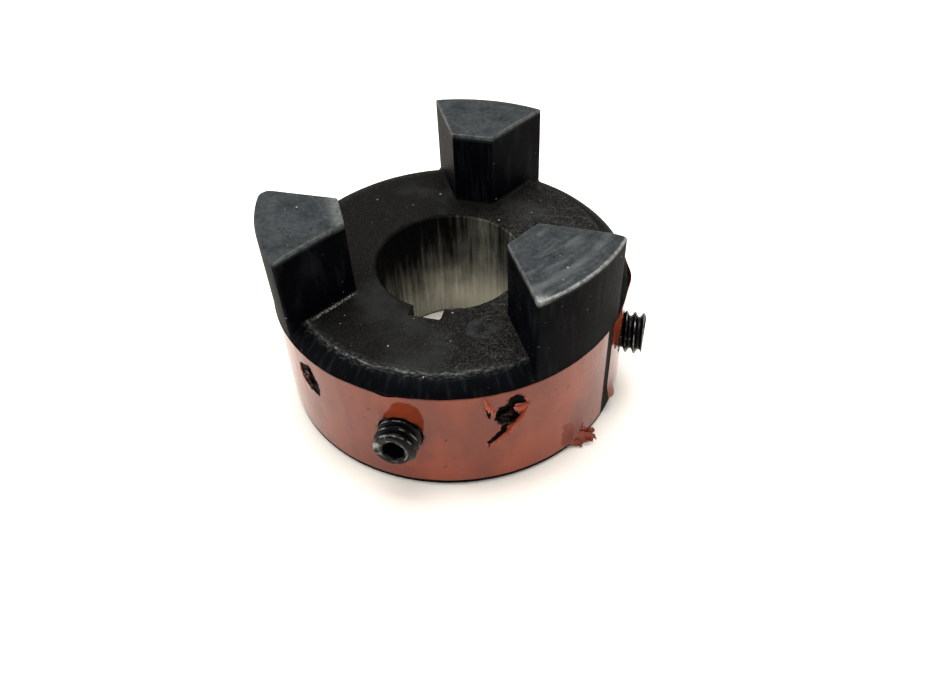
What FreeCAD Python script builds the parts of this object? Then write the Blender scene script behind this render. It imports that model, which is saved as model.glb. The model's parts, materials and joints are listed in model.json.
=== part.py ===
"""One hub of an inch-series jaw coupling: cast hub, printed label film and two set screws.

All sizes are in millimetres. The origin is the centre of the hub's back face, +Z runs along the
bore towards the jaws, one jaw lies on +Y, the keyway and the front set screw lie on -Y, and the
side set screw lies on +X.
"""

import FreeCAD, Part
import math
import os

Vector = FreeCAD.Vector

INCH = 25.4
TURN = 2.0 * math.pi

# Hub casting
HUB_RADIUS = 26.8
BODY_LENGTH = 20.6
BORE_RADIUS = 7 / 8 * INCH / 2
BORE_CHAMFER = 0.4
BACK_CHAMFER = 0.5
KEYWAY_WIDTH = 3 / 16 * INCH
KEYWAY_FLOOR_RADIUS = 0.964 * INCH - BORE_RADIUS
KEYWAY_CORNER_RADIUS = 0.25
RIM_BAND_WIDTH = 2.87
RIM_BAND_DROP = 1.75
RIM_BAND_BULGE = 0.3

# Jaws
JAW_COUNT = 3
FIRST_JAW_ANGLE = 90.0
JAW_TOP = 32.9
JAW_INNER_RADIUS = 14.82
JAW_INNER_HALF_WIDTH = 3.07
JAW_OUTER_HALF_WIDTH = 8.9
JAW_INNER_CORNER_RADIUS = 0.45
JAW_OUTER_CORNER_RADIUS = 0.4
JAW_BAND_WIDTH = 2.4
JAW_BAND_DROP = 0.4
JAW_BAND_BULGE = 0.1
JAW_TOP_EDGE_RADIUS = 0.25
JAW_ROOT_FILLET = 0.6
JAW_ROOT_DEPTH = 4.0

# Label film
LABEL_THICKNESS = 0.12
LABEL_BOTTOM = 0.7
LABEL_TOP = 18.7
LABEL_HOLE_RADIUS = 3.6
LABEL_GAP = 1.1
LABEL_GAP_ANGLE = -17.3

# Set screws, 1/4-20 UNC by 5/16 in long, with a hexagon socket and a cup point
SCREW_PITCH = INCH / 20
SCREW_MAJOR_RADIUS = INCH / 8
SCREW_LENGTH = 5 / 16 * INCH
SCREW_HEIGHT = 11.1
SCREW_OUTER_END = 30.15
SCREW_END_CHAMFER = 0.4
CUP_END_CHAMFER = 0.45
SOCKET_ACROSS_FLATS = 1 / 8 * INCH
SOCKET_DEPTH = 3.3
SOCKET_DRILL_DEPTH = 0.7
CUP_HEIGHT = 0.75
CUP_ROOT_RADIUS = 2.3
CUP_RIM_RADIUS = 1.75
CUP_RECESS_RADIUS = 1.45
CUP_RECESS_DEPTH = 0.55

# Thread form
THREAD_DEPTH = 5 / 8 * math.sqrt(3) / 2 * SCREW_PITCH
THREAD_CREST = SCREW_PITCH / 8
THREAD_HALF_ANGLE = math.radians(30.0)
THREAD_CLEARANCE = 0.15
FLANK_STEPS = 12

# Tapped holes
TAP_INNER_RADIUS = 9.5
TAP_OUTER_RADIUS = 28.5
TAP_MOUTH_RADIUS = 3.6
TAP_MOUTH_DEPTH = 0.4

FRONT_SCREW_ANGLE = -90.0
SIDE_SCREW_ANGLE = 0.0

OVERRUN = 1.0


def polar(radius, angle, height=0.0):
    """Return the point at a radius, an angle in radians and a height."""
    return Vector(radius * math.cos(angle), radius * math.sin(angle), height)


def ring_profile(points):
    """Revolve a closed outline of (radius, height) corners about the Z axis."""
    corners = [Vector(radius, 0.0, height) for radius, height in points]
    face = Part.Face(Part.makePolygon(corners + corners[:1]))
    return face.revolve(Vector(0, 0, 0), Vector(0, 0, 1), 360.0)


def crowned_cylinder(bottom, top, band_width, band_drop, bulge, bottom_chamfer=0.0):
    """Make a cylinder at the hub's radius whose top edge is turned down to a crowned band."""
    crease = Vector(HUB_RADIUS - band_width, 0, top)
    shoulder = Vector(HUB_RADIUS, 0, top - band_drop)
    chord = shoulder - crease
    outward = Vector(-chord.z, 0, chord.x)
    outward.normalize()
    middle = (crease + shoulder) * 0.5 + outward * bulge
    edges = [
        Part.makeLine(Vector(0, 0, bottom), Vector(0, 0, top)),
        Part.makeLine(Vector(0, 0, top), crease),
        Part.Arc(crease, middle, shoulder).toShape(),
        Part.makeLine(shoulder, Vector(HUB_RADIUS, 0, bottom + bottom_chamfer)),
    ]
    if bottom_chamfer > 0.0:
        chamfer_start = Vector(HUB_RADIUS, 0, bottom + bottom_chamfer)
        edges.append(Part.makeLine(chamfer_start, Vector(HUB_RADIUS - bottom_chamfer, 0, bottom)))
    edges.append(Part.makeLine(Vector(HUB_RADIUS - bottom_chamfer, 0, bottom), Vector(0, 0, bottom)))
    face = Part.Face(Part.Wire(edges))
    return face.revolve(Vector(0, 0, 0), Vector(0, 0, 1), 360.0)


def rounded_prism(corners, bottom, top):
    """Extrude an outline whose corners are (point, radius) pairs, each rounded to its radius."""
    count = len(corners)
    edges = []
    starts = []
    ends = []
    for index, (corner, radius) in enumerate(corners):
        before = (corners[index - 1][0] - corner).normalize()
        after = (corners[(index + 1) % count][0] - corner).normalize()
        half_angle = before.getAngle(after) / 2
        setback = radius / math.tan(half_angle)
        bisector = (before + after).normalize()
        middle = corner + bisector * (radius / math.sin(half_angle) - radius)
        starts.append(corner + before * setback)
        ends.append(corner + after * setback)
        edges.append(Part.Arc(starts[-1], middle, ends[-1]).toShape())
    for index in range(count):
        edges.append(Part.makeLine(ends[index], starts[(index + 1) % count]))
    outline = Part.Wire(Part.__sortEdges__(edges))
    outline.translate(Vector(0, 0, bottom))
    return Part.Face(outline).extrude(Vector(0, 0, top - bottom))


def make_jaw(angle):
    """Make one jaw: a wedge with flat sides whose outer face lies on the hub's outer diameter."""
    side_reach = math.sqrt(HUB_RADIUS**2 - JAW_OUTER_HALF_WIDTH**2)
    spread = (JAW_OUTER_HALF_WIDTH - JAW_INNER_HALF_WIDTH) / (side_reach - JAW_INNER_RADIUS)
    far_radius = HUB_RADIUS + OVERRUN
    far_half_width = JAW_OUTER_HALF_WIDTH + spread * (far_radius - side_reach)
    corners = [
        (Vector(JAW_INNER_RADIUS, -JAW_INNER_HALF_WIDTH, 0), JAW_INNER_CORNER_RADIUS),
        (Vector(far_radius, -far_half_width, 0), JAW_INNER_CORNER_RADIUS),
        (Vector(far_radius, far_half_width, 0), JAW_INNER_CORNER_RADIUS),
        (Vector(JAW_INNER_RADIUS, JAW_INNER_HALF_WIDTH, 0), JAW_INNER_CORNER_RADIUS),
    ]
    bottom = BODY_LENGTH - JAW_ROOT_DEPTH
    wedge = rounded_prism(corners, bottom, JAW_TOP)
    blank = crowned_cylinder(bottom, JAW_TOP, JAW_BAND_WIDTH, JAW_BAND_DROP, JAW_BAND_BULGE)
    jaw = wedge.common(blank)
    jaw = jaw.makeFillet(JAW_OUTER_CORNER_RADIUS, outer_upright_edges(jaw))
    jaw = jaw.makeFillet(JAW_TOP_EDGE_RADIUS, top_side_edges(jaw))
    jaw.rotate(Vector(0, 0, 0), Vector(0, 0, 1), angle)
    return jaw


def outer_upright_edges(jaw):
    """Return the jaw's two upright edges at the outer diameter."""
    shortest_upright = JAW_TOP - BODY_LENGTH
    uprights = []
    for edge in jaw.Edges:
        ends = [vertex.Point for vertex in edge.Vertexes]
        if len(ends) != 2:
            continue
        flat_shift = math.hypot(ends[0].x - ends[1].x, ends[0].y - ends[1].y)
        is_upright = flat_shift < 1e-6 and abs(ends[0].z - ends[1].z) > shortest_upright
        is_outer = abs(math.hypot(ends[0].x, ends[0].y) - HUB_RADIUS) < 1e-3
        if is_upright and is_outer:
            uprights.append(edge)
    return uprights


def top_side_edges(jaw):
    """Return the edges round the jaw's flat top, without the crease of its outer band."""
    crease_radius = HUB_RADIUS - JAW_BAND_WIDTH
    tops = []
    for edge in jaw.Edges:
        middle = edge.valueAt((edge.FirstParameter + edge.LastParameter) / 2)
        is_inboard = math.hypot(middle.x, middle.y) < crease_radius - 1e-3
        if is_inboard and abs(edge.BoundBox.ZMin - JAW_TOP) < 1e-6:
            tops.append(edge)
    return tops


def jaw_root_edges(hub, jaws):
    """Return the edges where the jaws rise from the front face and from the rim's band."""
    lowest = BODY_LENGTH - RIM_BAND_DROP
    roots = []
    for edge in hub.Edges:
        middle = edge.valueAt((edge.FirstParameter + edge.LastParameter) / 2)
        is_inboard = math.hypot(middle.x, middle.y) < HUB_RADIUS - 0.02
        is_at_root = lowest < middle.z < BODY_LENGTH + 1e-4
        if not (is_inboard and is_at_root):
            continue
        if any(jaw.distToShape(Part.Vertex(middle))[0] < 1e-4 for jaw in jaws):
            roots.append(edge)
    return roots


def make_keyway():
    """Make the keyway's cutter, a square bar with slightly rounded floor corners."""
    half = KEYWAY_WIDTH / 2
    corners = [
        (Vector(-half, -KEYWAY_FLOOR_RADIUS, 0), KEYWAY_CORNER_RADIUS),
        (Vector(half, -KEYWAY_FLOOR_RADIUS, 0), KEYWAY_CORNER_RADIUS),
        (Vector(half, 0, 0), KEYWAY_CORNER_RADIUS),
        (Vector(-half, 0, 0), KEYWAY_CORNER_RADIUS),
    ]
    return rounded_prism(corners, -OVERRUN, BODY_LENGTH + OVERRUN)


def make_bore():
    """Make the bore's cutter, with a chamfer at each end."""
    mouth = BORE_RADIUS + BORE_CHAMFER
    return ring_profile([
        (0, -OVERRUN),
        (mouth, -OVERRUN),
        (mouth, 0),
        (BORE_RADIUS, BORE_CHAMFER),
        (BORE_RADIUS, BODY_LENGTH - BORE_CHAMFER),
        (mouth, BODY_LENGTH),
        (mouth, BODY_LENGTH + OVERRUN),
        (0, BODY_LENGTH + OVERRUN),
    ])


def thread_section(root_radius, top_radius, crest_width, height):
    """Outline a single-start thread cut square to its axis, at a height on the axis."""
    per_length = TURN / SCREW_PITCH
    phase = per_length * height
    crest_half = crest_width / 2 * per_length
    flank = (top_radius - root_radius) * math.tan(THREAD_HALF_ANGLE) * per_length

    def arc(radius, start, end):
        """Draw an arc about the axis between two angles."""
        middle = (start + end) / 2
        points = [polar(radius, phase + angle, height) for angle in (start, middle, end)]
        return Part.Arc(*points).toShape()

    def spiral(start, end, start_radius, end_radius):
        """Draw a flank, whose radius changes evenly with its angle."""
        points = []
        for step in range(FLANK_STEPS + 1):
            share = step / FLANK_STEPS
            radius = start_radius + (end_radius - start_radius) * share
            points.append(polar(radius, phase + start + (end - start) * share, height))
        curve = Part.BSplineCurve()
        curve.interpolate(points)
        return curve.toShape()

    root_start = crest_half + flank
    return Part.Wire([
        arc(top_radius, -crest_half, crest_half),
        spiral(crest_half, root_start, top_radius, root_radius),
        arc(root_radius, root_start, TURN - root_start),
        spiral(TURN - root_start, TURN - crest_half, root_radius, top_radius),
    ])


def make_thread(root_radius, top_radius, crest_width, start, end):
    """Sweep the thread's cross-section along Z, one right-hand turn for each pitch."""
    section = thread_section(root_radius, top_radius, crest_width, start)
    spine = Part.Wire([Part.makeLine(Vector(0, 0, start), Vector(0, 0, end))])
    guide = Part.makeHelix(SCREW_PITCH, end - start, top_radius + OVERRUN)
    guide.rotate(Vector(0, 0, 0), Vector(0, 0, 1), math.degrees(TURN * start / SCREW_PITCH))
    guide.translate(Vector(0, 0, start))
    sweep = Part.BRepOffsetAPI.MakePipeShell(spine)
    sweep.setAuxiliarySpine(Part.Wire(guide.Edges), False, 0)
    sweep.add(section, False, False)
    sweep.build()
    sweep.makeSolid()
    return sweep.shape()


def aim_outward(shape, angle):
    """Turn a shape made along +Z to point out of the hub at an angle, at the screws' height."""
    aimed = shape.copy()
    aimed.rotate(Vector(0, 0, 0), Vector(0, 1, 0), 90.0)
    aimed.rotate(Vector(0, 0, 0), Vector(0, 0, 1), angle)
    aimed.translate(Vector(0, 0, SCREW_HEIGHT))
    return aimed


def make_tap():
    """Make a tapped hole's cutter: the screw's thread grown by its clearance, and a countersink."""
    root = SCREW_MAJOR_RADIUS - THREAD_DEPTH + THREAD_CLEARANCE
    top = SCREW_MAJOR_RADIUS + THREAD_CLEARANCE
    flank_growth = THREAD_CLEARANCE * (1 / math.cos(THREAD_HALF_ANGLE) - math.tan(THREAD_HALF_ANGLE))
    crest = THREAD_CREST + 2 * flank_growth
    thread = make_thread(root, top, crest, TAP_INNER_RADIUS, TAP_OUTER_RADIUS)
    mouth_start = HUB_RADIUS - TAP_MOUTH_DEPTH - (TAP_MOUTH_RADIUS - root)
    mouth_end = HUB_RADIUS - TAP_MOUTH_DEPTH
    mouth = ring_profile([
        (0, mouth_start),
        (root, mouth_start),
        (TAP_MOUTH_RADIUS, mouth_end),
        (TAP_MOUTH_RADIUS, TAP_OUTER_RADIUS),
        (0, TAP_OUTER_RADIUS),
    ])
    return thread.fuse(mouth)


def make_hub_body():
    """Make the iron hub: body, three jaws, bore, keyway and two tapped holes."""
    body = crowned_cylinder(0, BODY_LENGTH, RIM_BAND_WIDTH, RIM_BAND_DROP, RIM_BAND_BULGE, BACK_CHAMFER)
    jaws = [make_jaw(FIRST_JAW_ANGLE + index * 360.0 / JAW_COUNT) for index in range(JAW_COUNT)]
    hub = body.fuse(jaws).removeSplitter()
    hub = hub.makeFillet(JAW_ROOT_FILLET, jaw_root_edges(hub, jaws))
    hub = hub.cut(make_bore()).cut(make_keyway())
    tap = make_tap()
    for angle in (FRONT_SCREW_ANGLE, SIDE_SCREW_ANGLE):
        hub = hub.cut(aim_outward(tap, angle))
    return hub


def make_rim_label():
    """Make the label film: a thin band round the hub, open at its seam and round each screw."""
    outer = Part.makeCylinder(HUB_RADIUS + LABEL_THICKNESS, LABEL_TOP - LABEL_BOTTOM)
    inner = Part.makeCylinder(HUB_RADIUS, LABEL_TOP - LABEL_BOTTOM)
    film = outer.cut(inner)
    film.translate(Vector(0, 0, LABEL_BOTTOM))
    gap = Part.makeBox(2 * OVERRUN, LABEL_GAP, BODY_LENGTH)
    gap.translate(Vector(HUB_RADIUS - OVERRUN, -LABEL_GAP / 2, 0))
    gap.rotate(Vector(0, 0, 0), Vector(0, 0, 1), LABEL_GAP_ANGLE)
    film = film.cut(gap)
    hole = Part.makeCylinder(LABEL_HOLE_RADIUS, 2 * OVERRUN, Vector(0, 0, HUB_RADIUS - OVERRUN))
    for angle in (FRONT_SCREW_ANGLE, SIDE_SCREW_ANGLE):
        film = film.cut(aim_outward(hole, angle))
    return film


def make_socket():
    """Make the hexagon socket's cutter, along Z, with the cone that its pilot drill leaves."""
    corner_radius = SOCKET_ACROSS_FLATS / math.sqrt(3)
    floor = SCREW_OUTER_END - SOCKET_DEPTH
    corners = [polar(corner_radius, TURN * side / 6, floor) for side in range(6)]
    hexagon = Part.Face(Part.makePolygon(corners + corners[:1]))
    socket = hexagon.extrude(Vector(0, 0, SOCKET_DEPTH + OVERRUN))
    drill_radius = SOCKET_ACROSS_FLATS / 2
    cone = Part.makeCone(0, drill_radius, SOCKET_DRILL_DEPTH, Vector(0, 0, floor - SOCKET_DRILL_DEPTH))
    mouth_radius = corner_radius + SCREW_END_CHAMFER / 2
    mouth_floor = SCREW_OUTER_END - SCREW_END_CHAMFER / 2
    mouth = Part.makeCone(corner_radius, mouth_radius, SCREW_END_CHAMFER / 2, Vector(0, 0, mouth_floor))
    return socket.fuse(cone).fuse(mouth)


def make_screw_shank():
    """Make the set screw's threaded shank along Z, from its cup point to its socketed end."""
    root = SCREW_MAJOR_RADIUS - THREAD_DEPTH
    shank_start = SCREW_OUTER_END - SCREW_LENGTH + CUP_HEIGHT
    thread = make_thread(root, SCREW_MAJOR_RADIUS, THREAD_CREST, shank_start, SCREW_OUTER_END)
    full = SCREW_MAJOR_RADIUS + OVERRUN
    chamfered_radius = SCREW_MAJOR_RADIUS - SCREW_END_CHAMFER
    envelope = ring_profile([
        (0, shank_start),
        (CUP_ROOT_RADIUS, shank_start),
        (SCREW_MAJOR_RADIUS, shank_start + CUP_END_CHAMFER),
        (full, shank_start + CUP_END_CHAMFER),
        (full, SCREW_OUTER_END - SCREW_END_CHAMFER),
        (SCREW_MAJOR_RADIUS, SCREW_OUTER_END - SCREW_END_CHAMFER),
        (chamfered_radius, SCREW_OUTER_END),
        (0, SCREW_OUTER_END),
    ])
    return thread.common(envelope).cut(make_socket())


def make_cup_point():
    """Make the set screw's cup point along Z: a short tapered end with a coned recess."""
    tip = SCREW_OUTER_END - SCREW_LENGTH
    return ring_profile([
        (0, tip + CUP_RECESS_DEPTH),
        (CUP_RECESS_RADIUS, tip),
        (CUP_RIM_RADIUS, tip),
        (CUP_ROOT_RADIUS, tip + CUP_HEIGHT),
        (0, tip + CUP_HEIGHT),
    ])


def build_parts():
    """Return every sub-part by its node name."""
    shank = make_screw_shank()
    cup_point = make_cup_point()
    return {
        "hub_body": make_hub_body(),
        "rim_label": make_rim_label(),
        "front_set_screw": aim_outward(shank, FRONT_SCREW_ANGLE),
        "front_set_screw_cup_point": aim_outward(cup_point, FRONT_SCREW_ANGLE),
        "side_set_screw": aim_outward(shank, SIDE_SCREW_ANGLE),
        "side_set_screw_cup_point": aim_outward(cup_point, SIDE_SCREW_ANGLE),
    }


os.makedirs("parts", exist_ok=True)
for name, shape in build_parts().items():
    solid = shape.Solids[0]
    print(name, "solids", len(shape.Solids), "valid", shape.isValid(), "volume", round(shape.Volume, 2))
    solid.exportStep("parts/" + name + ".step")
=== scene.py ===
"""Looks of a jaw coupling hub: a dark iron casting, a torn glossy label film and two set screws.

Lengths in the classes below are in millimetres, and meshes are built in metres.
"""

import json
import logging
import math
from contextlib import contextmanager
from dataclasses import dataclass, field
from enum import Enum
from typing import Any, Callable, Iterable, Iterator, Sequence

import bmesh
import bpy
import numpy as np
from mathutils import Matrix, Vector, noise


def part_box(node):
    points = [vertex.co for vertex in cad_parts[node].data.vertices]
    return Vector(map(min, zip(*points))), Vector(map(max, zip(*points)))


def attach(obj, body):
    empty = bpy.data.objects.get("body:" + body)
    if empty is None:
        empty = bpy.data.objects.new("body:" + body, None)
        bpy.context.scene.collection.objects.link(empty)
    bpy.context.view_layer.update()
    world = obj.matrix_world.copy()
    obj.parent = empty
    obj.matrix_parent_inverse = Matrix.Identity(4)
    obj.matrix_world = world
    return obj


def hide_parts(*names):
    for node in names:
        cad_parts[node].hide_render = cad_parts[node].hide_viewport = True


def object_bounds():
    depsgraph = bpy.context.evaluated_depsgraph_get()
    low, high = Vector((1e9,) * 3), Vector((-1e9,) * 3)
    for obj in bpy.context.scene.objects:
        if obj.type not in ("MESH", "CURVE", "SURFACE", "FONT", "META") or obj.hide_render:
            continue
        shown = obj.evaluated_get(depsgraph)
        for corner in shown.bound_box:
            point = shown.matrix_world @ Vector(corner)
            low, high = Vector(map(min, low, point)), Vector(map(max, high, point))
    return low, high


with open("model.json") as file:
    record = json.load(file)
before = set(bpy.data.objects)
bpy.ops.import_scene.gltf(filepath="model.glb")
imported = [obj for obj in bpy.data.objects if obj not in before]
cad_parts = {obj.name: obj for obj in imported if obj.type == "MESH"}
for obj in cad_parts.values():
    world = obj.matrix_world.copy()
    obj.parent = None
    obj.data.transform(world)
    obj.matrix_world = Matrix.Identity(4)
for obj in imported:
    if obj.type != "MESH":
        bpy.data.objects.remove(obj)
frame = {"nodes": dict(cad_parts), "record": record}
CAD_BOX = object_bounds()

LOG = logging.getLogger("jaw_coupling_hub")
MM = 0.001
TURN = 2.0 * math.pi

Point = tuple[float, float]
Colour = tuple[float, float, float]


class Body(Enum):
    """The bodies that pieces ride on."""

    HUB = "hub"
    FRONT_SCREW = "front_screw"
    SIDE_SCREW = "side_screw"


class Slot(Enum):
    """The material slots of the record."""

    IRON = "hub_iron"
    FILM = "label_film"
    STEEL = "screw_steel"


class Mask(Enum):
    """The point attributes that the materials read."""

    WEAR = "wear"
    MACHINED = "machined"
    FACE = "face"
    JAW_TOP = "jaw_top"
    TORN_AND_LIT = "torn"
    GRIME_AND_SHADE = "grime"
    CREST = "crest"


def box_mm(node: str) -> tuple[np.ndarray, np.ndarray]:
    """Give a node's lowest and highest corners.

    Args:
        node: The node's name.

    Returns:
        The two corners, in millimetres.
    """
    low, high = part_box(node)
    return np.array(low) / MM, np.array(high) / MM


def smooth_step(value: np.ndarray, start: float, end: float) -> np.ndarray:
    """Ease values from 0 at start to 1 at end.

    Args:
        value: The values.
        start: Where the ramp starts.
        end: Where the ramp ends, which may be lower than start.

    Returns:
        The eased values.
    """
    share = np.clip((value - start) / (end - start), 0.0, 1.0)
    return share * share * (3.0 - 2.0 * share)


def noise_at(points: np.ndarray, scale: float, seed: float) -> np.ndarray:
    """Sample smooth noise at points.

    Args:
        points: Points in millimetres, one in each row.
        scale: Waves for each millimetre.
        seed: An offset that picks the pattern.

    Returns:
        One value from -1 to 1 for each point.
    """
    shift = Vector((seed, seed * 0.37, seed * 0.71))
    return np.array([noise.noise(Vector(point) * scale + shift) for point in points])


def places(x: Any, y: Any, z: Any = 0.0) -> np.ndarray:
    """Put numbers together as points, one in each row."""
    return np.stack(np.broadcast_arrays(x, y, z), axis=-1)


def grid_places(first: np.ndarray, second: np.ndarray) -> tuple[np.ndarray, np.ndarray]:
    """Pair every first number with every second one, in runs that share the first."""
    one, two = np.meshgrid(first, second, indexing="ij")
    return one.ravel(), two.ravel()


def link(name: str, data: Any) -> bpy.types.Object:
    """Put mesh, light or camera data in the scene as an object at the origin."""
    obj = bpy.data.objects.new(name, data)
    bpy.context.scene.collection.objects.link(obj)
    return obj


def new_object(name: str, vertices: np.ndarray, faces: Sequence[Sequence[int]]) -> bpy.types.Object:
    """Make a mesh object in the scene.

    Args:
        name: The piece's name.
        vertices: Its points in millimetres.
        faces: Its faces, as lists of point numbers.

    Returns:
        The object, at the origin.
    """
    mesh = bpy.data.meshes.new(name)
    mesh.from_pydata((vertices * MM).tolist(), [], [list(face) for face in faces])
    mesh.validate()
    return link(name, mesh)


@contextmanager
def opened(mesh: bpy.types.Mesh) -> Iterator[bmesh.types.BMesh]:
    """Open a mesh for editing, and write it back."""
    shape = bmesh.new()
    shape.from_mesh(mesh)
    yield shape
    shape.to_mesh(mesh)
    shape.free()


def dress(obj: bpy.types.Object, material: bpy.types.Material) -> None:
    """Make a finish the only one on a piece."""
    obj.data.materials.clear()
    obj.data.materials.append(material)


def points_of(mesh: bpy.types.Mesh) -> np.ndarray:
    """Read a mesh's points, in millimetres."""
    values = np.zeros(len(mesh.vertices) * 3)
    mesh.vertices.foreach_get("co", values)
    return values.reshape(-1, 3) / MM


def normals_of(mesh: bpy.types.Mesh) -> np.ndarray:
    """Read a mesh's point normals."""
    values = np.zeros(len(mesh.vertices) * 3)
    mesh.vertices.foreach_get("normal", values)
    return values.reshape(-1, 3)


def move_points(mesh: bpy.types.Mesh, points: np.ndarray) -> None:
    """Set a mesh's points, given in millimetres."""
    mesh.vertices.foreach_set("co", (points * MM).ravel())
    mesh.update()


def store_mask(mesh: bpy.types.Mesh, mask: Mask, values: np.ndarray) -> None:
    """Store one number for each point as a named attribute.

    Args:
        mesh: The mesh.
        mask: Which mask the values are.
        values: One value for each point.
    """
    attribute = mesh.attributes.new(mask.value, "FLOAT", "POINT")
    attribute.data.foreach_set("value", np.clip(values, 0.0, 1.0).astype(np.float32))


def sharpen(mesh: bpy.types.Mesh, degrees: float) -> None:
    """Shade a mesh smooth, apart from edges that turn by more than an angle."""
    mesh.shade_smooth()
    mesh.set_sharp_from_angle(angle=math.radians(degrees))


# ---------------------------------------------------------------------------- node graphs


def operator(operation: str, is_swapped: bool = False) -> Callable[["Term", Any], "Term"]:
    """Make a method that adds one Math node.

    Args:
        operation: The node's operation.
        is_swapped: Whether the other number comes first.

    Returns:
        The method.
    """

    def method(term: "Term", other: Any) -> "Term":
        return term.graph.math(operation, *((other, term) if is_swapped else (term, other)))

    return method


class Term:
    """A socket that can be worked with as in a formula."""

    def __init__(self, graph: "Graph", socket: bpy.types.NodeSocket) -> None:
        """Wrap a graph's socket."""
        self.graph = graph
        self.socket = socket

    __add__ = __radd__ = operator("ADD")
    __sub__ = operator("SUBTRACT")
    __rsub__ = operator("SUBTRACT", is_swapped=True)
    __mul__ = __rmul__ = operator("MULTIPLY")
    __truediv__ = operator("DIVIDE")
    __mod__ = operator("FLOORED_MODULO")
    __lt__ = operator("LESS_THAN")
    __gt__ = operator("GREATER_THAN")
    at_least = operator("MAXIMUM")
    at_most = operator("MINIMUM")

    def __abs__(self) -> "Term":
        """Drop the sign."""
        return self.graph.math("ABSOLUTE", self)

    def ramp(self, start: float, end: float) -> "Term":
        """Ease from 0 at start to 1 at end."""
        inputs = {"Value": self, "From Min": start, "From Max": end}
        return self.graph.first("ShaderNodeMapRange", inputs, interpolation_type="SMOOTHSTEP")


class Graph:
    """Adds nodes to a tree and wires them, so that a formula reads as arithmetic."""

    def __init__(self, tree: bpy.types.NodeTree) -> None:
        """Start on an empty tree."""
        self.tree = tree

    def add(self, kind: str, inputs: dict[Any, Any] | None = None, **settings: Any) -> bpy.types.Node:
        """Add a node.

        Args:
            kind: The node's type.
            inputs: What goes into its sockets, by name or number: a value or a term.
            **settings: The node's own settings.

        Returns:
            The node.
        """
        node = self.tree.nodes.new(kind)
        for name, value in settings.items():
            setattr(node, name, value)
        for key, value in (inputs or {}).items():
            self.feed(node.inputs[key], value)
        return node

    def feed(self, socket: bpy.types.NodeSocket, value: Any) -> None:
        """Give a socket a value, or link a term to it."""
        if isinstance(value, Term):
            self.tree.links.new(value.socket, socket)
        else:
            socket.default_value = value

    def parts(self, kind: str, inputs: dict[Any, Any] | None = None, **settings: Any) -> list[Term]:
        """Add a node as add does, and give all its outputs as terms."""
        return [Term(self, socket) for socket in self.add(kind, inputs, **settings).outputs]

    def first(self, kind: str, inputs: dict[Any, Any] | None = None, **settings: Any) -> Term:
        """Add a node as add does, and give its first output as a term."""
        return self.parts(kind, inputs, **settings)[0]

    def inlet(self) -> dict[str, Term]:
        """Give the tree's own inputs, by name."""
        sockets = self.tree.nodes.new("NodeGroupInput").outputs
        return {socket.name: Term(self, socket) for socket in sockets}

    def math(self, operation: str, *values: Any, clamp: bool = False) -> Term:
        """Work out one number.

        Args:
            operation: The Math node's operation.
            *values: Its numbers or terms, in order.
            clamp: Whether the result is kept between 0 and 1.

        Returns:
            The result.
        """
        return self.first("ShaderNodeMath", dict(enumerate(values)), operation=operation, use_clamp=clamp)

    def length(self, across: Term, along: Term) -> Term:
        """Measure how long a step across and along is."""
        return self.math("SQRT", across * across + along * along)

    def place_at(self, x: Any, y: Any, z: Any) -> Term:
        """Put three numbers together as a place."""
        return self.first("ShaderNodeCombineXYZ", {0: x, 1: y, 2: z})

    def mix(self, share: Any, first: Any, second: Any) -> Term:
        """Mix two colours."""
        inputs = {0: share, 6: with_alpha(first), 7: with_alpha(second)}
        return self.parts("ShaderNodeMix", inputs, data_type="RGBA")[2]

    def blend(self, share: Any, first: Any, second: Any) -> Term:
        """Mix two numbers."""
        return self.first("ShaderNodeMix", {0: share, 2: first, 3: second}, data_type="FLOAT")

    def mask(self, mask: Mask) -> Term:
        """Read one of the piece's masks."""
        node = self.add("ShaderNodeAttribute", attribute_name=mask.value)
        return Term(self, node.outputs["Fac"])

    def noise(self, place: Any, scale: Any, detail: float = 3.0) -> Term:
        """Sample noise at a place, with waves for each millimetre."""
        return self.first("ShaderNodeTexNoise", {"Vector": place, "Scale": scale, "Detail": detail})


def with_alpha(colour: Any) -> Any:
    """Give a plain colour its fourth number, and leave a term as it is."""
    return (*colour, 1.0) if isinstance(colour, tuple) and len(colour) == 3 else colour


class EffectGroup:
    """A shader effect that several finishes share, as a node group."""

    def __init__(self, name: str, inputs: dict[str, float], outputs: Sequence[str]) -> None:
        """Make the group's sockets.

        Args:
            name: The group's name.
            inputs: Its number inputs, with their defaults. A Place input comes before them.
            outputs: Its number outputs.
        """
        self.tree = bpy.data.node_groups.new(name, "ShaderNodeTree")
        self.tree.interface.new_socket("Place", in_out="INPUT", socket_type="NodeSocketVector")
        for label, value in inputs.items():
            socket = self.tree.interface.new_socket(label, in_out="INPUT", socket_type="NodeSocketFloat")
            socket.default_value = value
        for label in outputs:
            self.tree.interface.new_socket(label, in_out="OUTPUT", socket_type="NodeSocketFloat")
        self.graph = Graph(self.tree)
        self.inlet = self.graph.inlet()
        self.outlet = self.tree.nodes.new("NodeGroupOutput").inputs

    def place_in(self, graph: Graph, place: Term, **values: Any) -> Term:
        """Use the group in a material.

        Args:
            graph: The material's graph.
            place: The place that the effect is sampled at.
            **values: The inputs that differ from their defaults, with _ for a space.

        Returns:
            The group's first output.
        """
        node = graph.add("ShaderNodeGroup", node_tree=self.tree)
        graph.feed(node.inputs["Place"], place)
        for label, value in values.items():
            graph.feed(node.inputs[label.replace("_", " ")], value)
        return Term(graph, node.outputs[0])


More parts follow.
